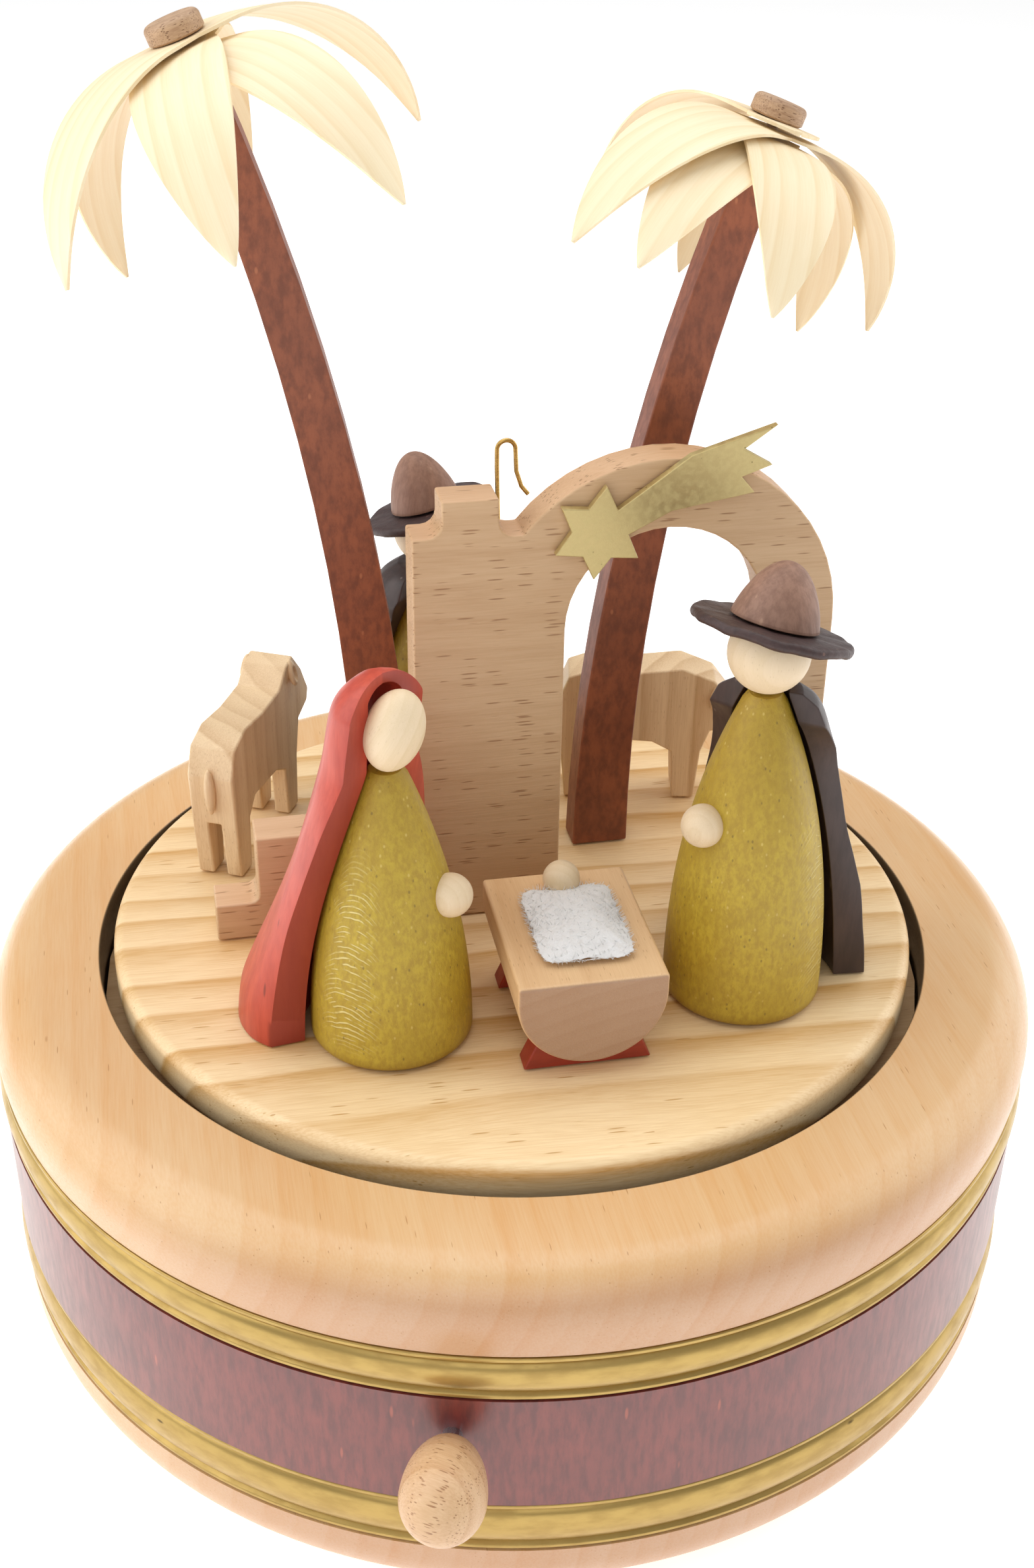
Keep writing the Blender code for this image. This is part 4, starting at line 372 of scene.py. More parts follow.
def timber_group():
    """Solid timber: X runs along the grain, and the pith lies on the X axis."""
    tree, given, result = group(
        "timber", {"Ring Width": 3.0 * MM, "Waviness": 2.0 * MM, "Fibre Width": 0.25 * MM, "Pore Length": 2.0 * MM,
                   "Pore Share": 0.2}, ("Rings", "Fibre", "Pores", "Cloud"))
    link = tree.links.new
    vector = given["Vector"]
    slow = stretched(tree, vector, (0.22, 1.0, 1.0))
    sway = add(tree, "ShaderNodeTexNoise", {"Vector": slow, "Scale": 45.0, "Detail": 2.0}).outputs[1]
    centred = vectors(tree, "SUBTRACT", sway, (0.5, 0.5, 0.5))
    moved = vectors(tree, "ADD", vector, vectors(tree, "SCALE", centred, Scale=given["Waviness"]))
    reach = vectors(tree, "LENGTH", stretched(tree, moved, (0.0, 1.0, 1.0)))
    count = maths(tree, "DIVIDE", reach, given["Ring Width"])
    within = maths(tree, "FRACT", count)
    late_wood = product(tree, maths(tree, "POWER", within, 1.8), stepped(tree, within, 0.86, 1.0, 1.0, 0.0))
    luck = add(tree, "ShaderNodeTexWhiteNoise", {"W": maths(tree, "FLOOR", count)}, noise_dimensions="1D")
    depth = maths(tree, "MULTIPLY_ADD", luck.outputs["Value"], 0.7, 0.45)
    link(product(tree, late_wood, depth), result["Rings"])
    long = stretched(tree, moved, (0.035, 1.0, 1.0))
    link(clouds(tree, long, maths(tree, "DIVIDE", 1.0, given["Fibre Width"]), 3.0, 0.6), result["Fibre"])
    cells = vectors(tree, "SCALE", stretched(tree, vector, (1.0, 11.0, 11.0)),
                    Scale=maths(tree, "DIVIDE", 1.0, given["Pore Length"]))
    near, chance = dots(tree, cells, 1.0, 0.2, 0.38)
    link(product(tree, near, maths(tree, "LESS_THAN", chance, given["Pore Share"])), result["Pores"])
    link(clouds(tree, stretched(tree, vector, (0.4, 1.0, 1.0)), 60.0, 3.0, 0.55), result["Cloud"])


def worn_group():
    """Wear and dirt on a painted surface: dark specks, rubbed patches and a low relief."""
    tree, given, result = group("worn paint", {"Size": 3.0 * MM}, ("Patches", "Specks", "Height"))
    link = tree.links.new
    vector = given["Vector"]
    fine = maths(tree, "DIVIDE", 1.0, given["Size"])
    link(stepped(tree, clouds(tree, vector, fine, 4.0, 0.6), 0.38, 0.68), result["Patches"])
    near, chance = dots(tree, vector, product(tree, fine, 0.8), 0.06, 0.14)
    link(product(tree, near, maths(tree, "LESS_THAN", chance, 0.16)), result["Specks"])
    link(clouds(tree, vector, product(tree, fine, 5.0), 3.0, 0.6), result["Height"])


def blank(name, **constants):
    """A new material, its tree and its shader; a constant such as coat_weight goes on the shader's own socket."""
    made = bpy.data.materials.new(name)
    made.use_nodes = True
    shader = made.node_tree.nodes["Principled BSDF"]
    for label, value in constants.items():
        shader.inputs[label.replace("_", " ").title()].default_value = value
    return made, made.node_tree, shader


def surfaced(tree, shader, tone, roughness, height, depth, strength):
    """Feeds the shader's colour and roughness, and its normal from a height."""
    relief = add(tree, "ShaderNodeBump", {"Height": height, "Distance": depth, "Strength": strength})
    for source, label in ((tone, "Base Color"), (roughness, "Roughness"), (relief.outputs[0], "Normal")):
        tree.links.new(source, shader.inputs[label])


def local(tree, turn=(0.0, 0.0, 0.0), shift=(0.0, 0.0, 0.0)):
    """Object coordinates, turned and then shifted."""
    spot = add(tree, "ShaderNodeTexCoord").outputs["Object"]
    return add(tree, "ShaderNodeMapping", {"Vector": spot, "Rotation": turn, "Location": shift}).outputs[0]


def facing(tree, axis):
    """How squarely the surface faces along an axis, from -1 to 1."""
    return vectors(tree, "DOT_PRODUCT", add(tree, "ShaderNodeTexCoord").outputs["Normal"], axis)


def shade(pale, amount):
    """A colour made darker by a share, and a little warmer with it."""
    return tuple(value * (1.0 - amount * weight) for value, weight in zip(pale, (0.8, 1.0, 1.15)))


def wood(name, pale, dark, turn=(0.0, 0.0, 0.0), pith=(0.0, 0.08, 0.05), ring=3.0, wave=2.0, fibre=0.25,
         pore=2.0, pores=0.2, pore_tone=0.45, rings=0.6, fibres=0.3, cloud=0.25, rough=0.45, coat=0.0, bump=0.06,
         end=None, axis=None, uv=None, bore=None):
    """A wooden finish cut from solid timber.

    turn and pith lay the log in the piece. ring, wave, fibre, pore and bump are in millimetres. pores is the share of
    pores; rings, fibres and cloud weigh the dark tone of each. end is the tone of faces along axis, and the piece is
    dark within the radius bore.
    """
    made, tree, shader = blank(name, coat_weight=coat, coat_roughness=0.25)
    if uv:
        spot = add(tree, "ShaderNodeUVMap", uv_map=uv).outputs[0]
        vector = add(tree, "ShaderNodeMapping", {"Vector": spot, "Location": pith}).outputs[0]
    else:
        vector = local(tree, turn, pith)
    solid = add(tree, "ShaderNodeGroup", {"Vector": vector, "Ring Width": ring * MM, "Waviness": wave * MM,
                                          "Fibre Width": fibre * MM, "Pore Length": pore * MM, "Pore Share": pores},
                node_tree=bpy.data.node_groups["timber"]).outputs
    strands = stepped(tree, solid["Fibre"], 0.3, 0.75)
    patches = stepped(tree, solid["Cloud"], 0.3, 0.7)
    tone = product(tree, solid["Rings"], rings)
    tone = maths(tree, "MULTIPLY_ADD", strands, fibres, tone)
    tone = maths(tree, "MULTIPLY_ADD", patches, cloud, tone)
    base, dark_tone = pale, dark
    if end is not None:
        square = facing(tree, axis)
        base = mixed(tree, stepped(tree, product(tree, square, square), 0.15, 0.8), pale, end)
        dark_tone = mixed(tree, 1.0, base, tuple(d / max(p, 0.001) for d, p in zip(dark, pale)), "MULTIPLY")
    shown = mixed(tree, add(tree, "ShaderNodeClamp", {0: tone}).outputs[0], base, dark_tone)
    shown = mixed(tree, product(tree, solid["Pores"], 0.85), shown, shade(dark, pore_tone))
    # Painted shade: within the radius bore the colour turns near black, in place of the deep shadow inside the bore.
    if bore is not None:
        spot = stretched(tree, add(tree, "ShaderNodeTexCoord").outputs["Object"], (1.0, 1.0, 0.0))
        inside = stepped(tree, vectors(tree, "LENGTH", spot), bore, bore + 0.3 * MM, 0.94, 0.0)
        shown = mixed(tree, inside, shown, srgb(26, 20, 16))
    surfaced(tree, shader, shown, maths(tree, "MULTIPLY_ADD", strands, 0.12, rough - 0.06),
             maths(tree, "SUBTRACT", product(tree, strands, 0.5), solid["Pores"]), bump * MM, 0.6)
    return made


def painted(name, main, other, speck, size, metal, rough, amount, bump, stretch=(1.0, 1.0, 1.0)):
    """A painted or metal finish with patches of a second tone, specks and a relief; size and bump in millimetres."""
    made, tree, shader = blank(name, metallic=metal)
    wear = add(tree, "ShaderNodeGroup", {"Vector": stretched(tree, local(tree), stretch), "Size": size * MM},
               node_tree=bpy.data.node_groups["worn paint"]).outputs
    shown = mixed(tree, product(tree, wear["Patches"], amount), main, other)
    shown = mixed(tree, product(tree, wear["Specks"], 0.8), shown, speck)
    surfaced(tree, shader, shown, maths(tree, "MULTIPLY_ADD", wear["Patches"], 0.14, rough - 0.07), wear["Height"],
             bump * MM, 0.5)
    return made


def robe_finish(name, figure, shown, column, amount):
    """Olive stain on a turned robe: mottled, flecked, with a column of stacked chatter arcs at one angle."""
    made, tree, shader = blank(name, coat_weight=0.12, coat_roughness=0.35)
    vector = local(tree, shift=(-figure["x"], -figure["y"], -FLOOR))
    x, y, z = add(tree, "ShaderNodeSeparateXYZ", {0: vector}).outputs
    away = maths(tree, "SUBTRACT", maths(tree, "ARCTAN2", y, x),
                 math.remainder(math.radians(column), 2.0 * math.pi))
    grain = clouds(tree, stretched(tree, vector, (1.0, 1.0, 0.5)), 1300.0, 5.0, 0.7)
    patches = clouds(tree, vector, 190.0, 5.0, 0.65)
    tone = mixed(tree, stepped(tree, grain, 0.34, 0.64), shade(shown, 0.3), shown)
    tone = mixed(tree, stepped(tree, patches, 0.4, 0.66, 0.0, 0.5), tone, shade(shown, 0.3))
    # Painted shade: darker towards the neck, under the head and the cloak's collar, and in a thin band at the foot,
    # where the robe meets the disc.
    tone = mixed(tree, stepped(tree, z, 26.0 * MM, 48.0 * MM, 0.0, 0.45), tone, shade(shown, 0.5))
    tone = mixed(tree, stepped(tree, z, 0.4 * MM, 2.4 * MM, 0.55, 0.0), tone, shade(shown, 0.6))
    warp = product(tree, product(tree, away, away), 14.0 * MM)
    jitter = product(tree, clouds(tree, vector, 220.0, 2.0), 1.6 * MM)
    row = maths(tree, "ADD", maths(tree, "ADD", z, warp), jitter)
    line = maths(tree, "FRACT", maths(tree, "DIVIDE", row, 0.85 * MM))
    bright = stepped(tree, maths(tree, "ABSOLUTE", maths(tree, "SUBTRACT", line, 0.5)), 0.08, 0.22, 1.0, 0.0)
    window = stepped(tree, maths(tree, "ABSOLUTE", away), 0.12, 0.5, 1.0, 0.0)
    height = product(tree, stepped(tree, z, 2.0 * MM, 8.0 * MM),
                     stepped(tree, z, 26.0 * MM, 38.0 * MM, 1.0, 0.0))
    broken = stepped(tree, clouds(tree, stretched(tree, vector, (1.0, 1.0, 2.2)), 330.0, 2.0), 0.42, 0.56)
    arcs = product(tree, product(tree, bright, window), product(tree, height, broken))
    tone = mixed(tree, product(tree, arcs, amount), tone, srgb(232, 214, 140))
    near, chance = dots(tree, stretched(tree, vector, (1.0, 1.0, 0.6)), 1500.0, 0.14, 0.34)
    pale = product(tree, near, maths(tree, "LESS_THAN", chance, 0.08))
    dark = product(tree, near, maths(tree, "GREATER_THAN", chance, 0.92))
    tone = mixed(tree, product(tree, pale, 0.45), tone, srgb(226, 204, 122))
    tone = mixed(tree, product(tree, dark, 0.55), tone, srgb(92, 70, 30))
    surfaced(tree, shader, tone, maths(tree, "MULTIPLY_ADD", grain, 0.3, 0.34),
             maths(tree, "MULTIPLY_ADD", arcs, 0.8, grain), 0.2 * MM, 0.8)
    return made


def carved_stain(name, shown, other, speck, scale, amount, specks, rough, coat, stretch, bump, rim=None):
    """Stain on carved wood: streaks along the grain, patches, specks and tool marks.

    scale and amount are the streaks', specks is the share of specks, and rim the tone of faces towards -Y.
    """
    made, tree, shader = blank(name, coat_weight=coat, coat_roughness=0.3)
    vector = local(tree)
    drawn = stretched(tree, vector, stretch)
    streaks = clouds(tree, drawn, scale, 4.0, 0.65)
    patches = clouds(tree, vector, 90.0, 3.0, 0.55)
    tone = mixed(tree, stepped(tree, streaks, 0.32, 0.7, 0.0, amount), shown, other)
    tone = mixed(tree, stepped(tree, patches, 0.35, 0.7, 0.0, 0.35), tone, other)
    near, chance = dots(tree, drawn, 700.0, 0.1, 0.24)
    spots = product(tree, near, maths(tree, "LESS_THAN", chance, specks))
    tone = mixed(tree, product(tree, spots, 0.7), tone, speck)
    # Painted shade: faces turned towards -Y, such as a cloak's front edge, are darkened towards rim, as if they were
    # in shadow.
    if rim is not None:
        tone = mixed(tree, stepped(tree, facing(tree, (0.1, -1.0, 0.0)), 0.72, 0.94, 0.0, 0.7), tone, rim)
    surfaced(tree, shader, tone, maths(tree, "MULTIPLY_ADD", streaks, 0.2, rough - 0.1),
             maths(tree, "MULTIPLY_ADD", patches, 1.2, streaks), bump * MM, 0.6)
    return made


def fleece_finish(name, shown):
    """White fleece: matt, with a soft sheen and thin shadows between its tufts."""
    made, tree, shader = blank(name, sheen_weight=0.5, sheen_roughness=0.6)
    tufts = clouds(tree, local(tree), 900.0, 5.0, 0.7)
    tone = mixed(tree, stepped(tree, tufts, 0.2, 0.5), shade(shown, 0.14), shown)
    surfaced(tree, shader, tone, stepped(tree, tufts, 0.2, 0.8, 0.85, 1.0), tufts, 0.5 * MM, 0.9)
    return made


def metal(name, shown, rough):
    """A plain worked metal with faint tool marks."""
    return painted(name, shown, shade(shown, 0.25), shade(shown, 0.6), size=4.0, metal=1.0, rough=rough, amount=0.5,
                   bump=0.02, stretch=(1.0, 1.0, 6.0))


# Pieces

class MUSICBOX_OT_groups(bpy.types.Operator):
    """Makes the node groups that the finishes share"""
    bl_idname = "musicbox.groups"
    bl_label = "Shared effects"

    def execute(self, context):
        timber_group()
        worn_group()
        return {"FINISHED"}


class MUSICBOX_OT_drum(bpy.types.Operator):
    """Turns the rings, the beads and the red band of the drum"""
    bl_idname = "musicbox.drum"
    bl_label = "Drum"

    def bead(self, steps, low, high):
        """The mesh of a gilt bead between two heights."""
        middle = (low + high) / 2.0
        swell = (high - low) / 2.0 - 1.2 * MM
        root, crest, lip, depth, small = 88.6 * MM, 90.2 * MM, 89.7 * MM, 0.8 * MM, 0.25 * MM
        profile = [(DRUM_BORE, high), (lip - small, high)]
        profile += arc((lip - small, high - small), small, 70.0, 0.0, 3)
        profile += arc((lip - small, high - depth + small), small, 0.0, -60.0, 3)
        profile += [(root + (crest - root) * math.cos(math.radians(angle)),
                     middle + swell * math.sin(math.radians(angle))) for angle in range(84, -85, -12)]
        profile += arc((lip - small, low + depth - small), small, 60.0, 0.0, 3)
        profile += arc((lip - small, low + small), small, 0.0, -70.0, 3)
        profile += [(lip - small, low), (DRUM_BORE, low)]
        return turned(profile, steps)

    def execute(self, context):
        given = context.scene.music_box_drum
        steps, small = given.facets, given.edge_round
        bore, low, top, wide = 71.5 * MM, 54.0 * MM, 67.0 * MM, 89.8 * MM
        # bore paints a near-black shade on the ring's bore wall and the inner edge of its top, where a deep shadow
        # falls.
        maple = wood("maple", tuple(given.maple), srgb(216, 164, 106), DEPTHWISE, (0.0, 0.16, 0.02), ring=4.5,
                     wave=3.0, fibre=0.3, pore=3.0, pores=0.025, pore_tone=0.35, rings=0.4, fibres=0.34, cloud=0.34,
                     rough=0.36, coat=0.25, bump=0.03, end=srgb(208, 168, 134), axis=(0.0, 1.0, 0.0),
                     bore=71.55 * MM)
        profile = [(bore, low), (bore, top - small)] + arc((bore + small, top - small), small, 150.0, 90.0, 3)
        profile += arc((82.0 * MM, 59.0 * MM), 8.0 * MM, 90.0, 0.0, 18)
        profile += [(89.9 * MM, 56.5 * MM), (89.5 * MM, low)]
        put("top_ring", "turned", turned(profile, steps), maple, "base")
        foot_top, board_top, board_rim = 13.2 * MM, 6.3 * MM, 76.0 * MM
        profile = [(DRUM_BORE, board_top), (DRUM_BORE, foot_top), (wide, foot_top)]
        profile += arc((79.3 * MM, 10.5 * MM), 10.5 * MM, 0.0, -90.0, 16)
        profile += [(board_rim, 0.0), (board_rim, board_top)]
        put("foot_ring", "turned", turned(profile, steps), maple, "base")
        gilt = painted("gilding", tuple(given.gilt), srgb(150, 120, 64), srgb(70, 50, 26), size=6.0, metal=0.7,
                       rough=0.36, amount=0.35, bump=0.03, stretch=(1.0, 1.0, 3.0))
        put("upper_bead", "turned", self.bead(steps, 45.6 * MM, 53.7 * MM), gilt, "base")
        put("lower_bead", "turned", self.bead(steps, 13.5 * MM, 23.1 * MM), gilt, "base")
        stain = carved_stain("red stain", tuple(given.stain), srgb(84, 40, 40), srgb(176, 88, 66), scale=800.0,
                             amount=0.65, specks=0.04, rough=0.34, coat=0.5, stretch=(1.0, 1.0, 0.22), bump=0.05)
        low, high = 23.4 * MM, 45.3 * MM
        band = [(DRUM_BORE, low), (DRUM_BORE, high), (wide, high), (wide, low)]
        put("red_band", "turned", turned(band, steps), stain, "base")
        return {"FINISHED"}


class MUSICBOX_OT_knob(bpy.types.Operator):
    """Turns the egg-shaped stop knob"""
    bl_idname = "musicbox.knob"
    bl_label = "Stop knob"

    def execute(self, context):
        given = context.scene.music_box_drum
        near, widest, end, radius = 91.8 * MM, 9.0 * MM, 15.5 * MM, 6.2 * MM
        hole, deep, height = 1.8 * MM, 7.3 * MM, 38.2 * MM
        profile = []
        for step in range(17):
            turn = math.pi / 2.0 * (1.0 - step / 16.0)
            profile.append((radius * math.cos(turn), near + widest + (end - widest) * math.sin(turn)))
        for step in range(1, 13):
            share = step / 12.0
            profile.append((radius * math.sqrt(1.0 - 0.82 * share ** 2), near + widest * (1.0 - share)))
        profile += [(hole, near), (hole, near + deep), (0.0, near + deep)]
        profile[0] = (0.0, profile[0][1])
        lay = (Matrix.Translation((0.0, 0.0, height)) @ Matrix.Rotation(STOP_ANGLE, 4, "Z")
               @ Matrix.Rotation(math.pi / 2.0, 4, "Y"))
        finish = wood("knob beech", tuple(given.knob), srgb(192, 142, 96), (0.0, 0.0, math.radians(35.0)),
                      (0.0, 0.06, -0.02), ring=2.2, wave=1.5, fibre=0.22, pore=3.2, pores=0.34, pore_tone=0.42,
                      rings=0.4, fibres=0.35, rough=0.42, coat=0.15, bump=0.05)
        put("stop_knob", "turned", turned(profile, 48, lay), finish, "stop")
        return {"FINISHED"}


class MUSICBOX_OT_disc(bpy.types.Operator):
    """Turns the disc that carries the scene"""
    bl_idname = "musicbox.disc"
    bl_label = "Disc"

    def execute(self, context):
        given = context.scene.music_box_drum
        top, low, inner, edge = 70.0 * MM, 62.0 * MM, 67.0 * MM, 2.0 * MM
        socket, deep = 3.3 * MM, 66.5 * MM
        profile = [(0.0, top), (30.0 * MM, top)] + arc((inner, top - edge), edge, 90.0, 0.0, 8)
        profile += arc((inner, low + edge), edge, 0.0, -90.0, 6)
        profile += [(socket, low), (socket, deep), (0.0, deep)]
        ash = wood("ash", tuple(given.ash), srgb(208, 160, 92), (0.0, 0.0, math.radians(2.0)), (0.0, 0.075, -0.04),
                   ring=7.5, wave=9.0, fibre=0.3, pore=5.0, pores=0.06, pore_tone=0.16, rings=0.95, cloud=0.12,
                   rough=0.42, coat=0.1, bump=0.05)
        put("turntable_disc", "turned", turned(profile, given.facets), ash)
        return {"FINISHED"}


class MUSICBOX_OT_wall(bpy.types.Operator):
    """Rounds the edges of the arched wall and of the comet on it"""
    bl_idname = "musicbox.wall"
    bl_label = "Wall and comet"

    def execute(self, context):
        given = context.scene.music_box_scene
        beech = wood("wall beech", tuple(given.wall), srgb(188, 148, 106), pith=(0.0, 0.09, 0.03), ring=5.0, wave=3.0,
                     fibre=0.3, pore=4.6, pores=0.3, pore_tone=0.42, rings=0.3, fibres=0.28, cloud=0.35, rough=0.5,
                     coat=0.05, end=srgb(226, 188, 150), axis=(0.0, 0.0, 1.0))
        put_sawn("wall_arch", softened("wall_arch", given.wall_round, 4), beech)
        gold = painted("comet paint", tuple(given.comet), srgb(214, 198, 140), srgb(120, 104, 60), size=1.1,
                       metal=0.6, rough=0.42, amount=0.5, bump=0.03)
        put_sawn("comet", softened("comet", 0.18 * MM, 2), gold)
        return {"FINISHED"}


class MUSICBOX_OT_cradle(bpy.types.Operator):
    """Makes the cradle, its rockers and the small round head on it"""
    bl_idname = "musicbox.cradle"
    bl_label = "Cradle"

    def execute(self, context):
        given = context.scene.music_box_scene
        top, radius, depth, side = 87.7 * MM, 11.6 * MM, 30.6 * MM, 3.4 * MM
        outline = [(radius, top), (-radius, top)] + arc((0.0, top - side), radius, 180.0, 360.0, 40)
        lime = wood("cradle limewood", tuple(given.lime), srgb(214, 170, 122), DEPTHWISE, (0.0, 0.03, 0.02),
                    ring=2.6, fibre=0.2, pore=1.6, pores=0.1, pore_tone=0.3, rings=0.4, cloud=0.3, rough=0.46,
                    coat=0.06, bump=0.05, end=srgb(184, 150, 122), axis=(0.05, 1.0, 0.0))
        put_sawn("crib_body", sawn(outline, depth, CRIB_PLACE, 0.6 * MM, 4), lime)
        red = carved_stain("rocker stain", tuple(given.rocker), srgb(120, 30, 18), srgb(90, 20, 14), scale=500.0,
                           amount=0.5, specks=0.05, rough=0.42, coat=0.15, stretch=(0.2, 1.0, 1.0), bump=0.05)
        for node in ("crib_rocker_front", "crib_rocker_rear"):
            put_sawn(node, softened(node, 0.3 * MM), red)
        head = wood("cradle head wood", tuple(context.scene.music_box_figures.pale), srgb(222, 196, 150), UPRIGHT,
                    (0.0, 0.012, 0.01), ring=1.2, wave=0.6, fibre=0.15, pore=0.8, pores=0.05, pore_tone=0.2,
                    rings=0.5, fibres=0.2, cloud=0.2)
        place = CRIB_PLACE @ Matrix.Translation((0.4 * MM, 10.5 * MM, 89.5 * MM))
        put("crib_head", "turned", ball([3.0 * MM] * 3, place), head)
        return {"FINISHED"}


class MUSICBOX_OT_fleece(bpy.types.Operator):
    """Lays the white fleece on the cradle"""
    bl_idname = "musicbox.fleece"
    bl_label = "Fleece"

    def execute(self, context):
        shown = tuple(context.scene.music_box_scene.fleece)
        half_x, half_y, crown, rim = 7.3 * MM, 10.1 * MM, 2.5 * MM, 1.1 * MM
        squareness = 7.0

        def corner(angle):
            """Distance from the middle of the fleece to its rim, a rectangle with well rounded corners."""
            return ((abs(math.cos(angle)) / half_x) ** squareness
                    + (abs(math.sin(angle)) / half_y) ** squareness) ** (-1.0 / squareness)

        draft = bmesh.new()
        bmesh.ops.create_uvsphere(draft, u_segments=160, v_segments=80, radius=1.0)
        for vert in draft.verts:
            angle = math.atan2(vert.co.y, vert.co.x)
            spread = min(1.0, vert.co.xy.length) ** 0.75
            drawn = 1.0 - 0.05 * (1.0 - abs(math.sin(2.0 * angle))) * spread
            ragged = 1.0 + 0.05 * noise.noise((math.cos(angle) * 7.0, math.sin(angle) * 7.0, 1.0)) * spread
            ragged += 0.03 * noise.noise((math.cos(angle) * 25.0, math.sin(angle) * 25.0, 4.0)) * spread
            height = 0.0
            if vert.co.z > -0.6:
                swell = rim + (crown - rim) * (1.0 - spread ** 2.2)
                height = swell * max(0.0, 0.5 + 0.5 * vert.co.z) ** 0.7
            x = corner(angle) * spread * drawn * ragged * math.cos(angle)
            y = corner(angle) * spread * drawn * ragged * math.sin(angle)
            lift = noise.noise((x * 260.0, y * 260.0, 0.0)) * 0.3 + noise.noise((x * 900.0, y * 900.0, 3.0)) * 0.16
            if height > 0.0:
                height = max(0.0, height + lift * MM * min(1.0, height / (0.8 * MM)))
            vert.co = (x, y, height)
        fibres = []
        count, golden_turn = 620, 2.399963
        for index in range(count):
            turn = index * golden_turn
            along = (index + 0.5) / count
            reach = corner(turn) * (0.97 if index % 2 else math.sqrt(along) * 0.95)
            level = rim * 0.5 if index % 2 else rim * 0.8 + (crown - rim) * (1.0 - (reach / corner(turn)) ** 2.2)
            spot = Vector((reach * math.cos(turn), reach * math.sin(turn), level))
            wild = Vector((noise.noise((index * 0.71, 0.0, 0.3)), noise.noise((index * 0.37, 2.0, 0.1)), 0.18))
            out = Vector((math.cos(turn), math.sin(turn), 0.1)) * 0.45 if index % 2 else Vector((0.0, 0.0, 0.12))
            aim = (wild * 1.6 + out).normalized()
            fibres.append(Matrix.Translation(spot + aim * 0.4 * MM) @ aim.to_track_quat("Z", "Y").to_matrix().to_4x4())
        for place in fibres:
            bmesh.ops.create_cone(draft, cap_ends=True, segments=4, radius1=0.07 * MM, radius2=0.015 * MM,
                                  depth=1.3 * MM, matrix=place)
        place = CRIB_PLACE @ Matrix.Translation((0.3 * MM, -0.8 * MM, 88.0 * MM))
        pad = put("fleece_pad", "laid", finished(draft, place), fleece_finish("fleece", shown), angle=180.0,
                  name="fleece")
        return {"FINISHED"}


def robe_radius(figure, z):
    """Radius of a figure's robe at a height."""
    foot, narrowing = 12.8, 9.9
    rise = min(1.0, max(0.0, (z - FLOOR) / (figure["top"] - FLOOR)))
    return (foot - narrowing * rise ** figure["bulge"]) * MM


class MUSICBOX_OT_robes(bpy.types.Operator):
    """Turns the three robes and the two hands"""
    bl_idname = "musicbox.robes"
    bl_label = "Robes and hands"

    def execute(self, context):
        given = context.scene.music_box_figures
        shown = tuple(given.robe)
        for name, figure, column, amount in (("hooded", HOODED, 230.0, 0.9), ("hatted", HATTED, 318.0, 0.6),
                                             ("herdsman", HERDSMAN, 60.0, 0.6)):
            top = figure["top"]
            profile = [(0.0, top), (2.5 * MM, top), (2.8 * MM, top - 0.3 * MM)]
            for step in range(1, 40):
                z = top - (top - FLOOR - 1.4 * MM) * step / 39.0
                profile.append((robe_radius(figure, z), z))
            profile += arc((11.6 * MM, FLOOR + 1.2 * MM), 1.2 * MM, -10.0, -90.0, 5) + [(0.0, FLOOR)]
            mesh = turned(profile, given.facets, Matrix.Translation((figure["x"], figure["y"], 0.0)))
            finish = robe_finish(f"{name} robe stain", figure, shown, column, amount)
            put(f"{name}_robe", "turned", mesh, finish)
        for name, centre in (("hooded", (-17.2, -36.25, 97.0)), ("hatted", (22.3, -34.6, 103.8))):
            spot = Vector(centre) * MM
            finish = wood(f"{name} hand wood", tuple(given.pale), srgb(226, 200, 160), UPRIGHT,
                          (0.0, 0.012 - spot.y, -0.01 + spot.x), ring=1.4, wave=1.0, fibre=0.16, pore=0.8, pores=0.04,
                          pore_tone=0.2, rings=0.45, fibres=0.25, cloud=0.3)
            put(f"{name}_hand", "turned", ball([3.4 * MM] * 3, Matrix.Translation(spot)), finish)
        return {"FINISHED"}


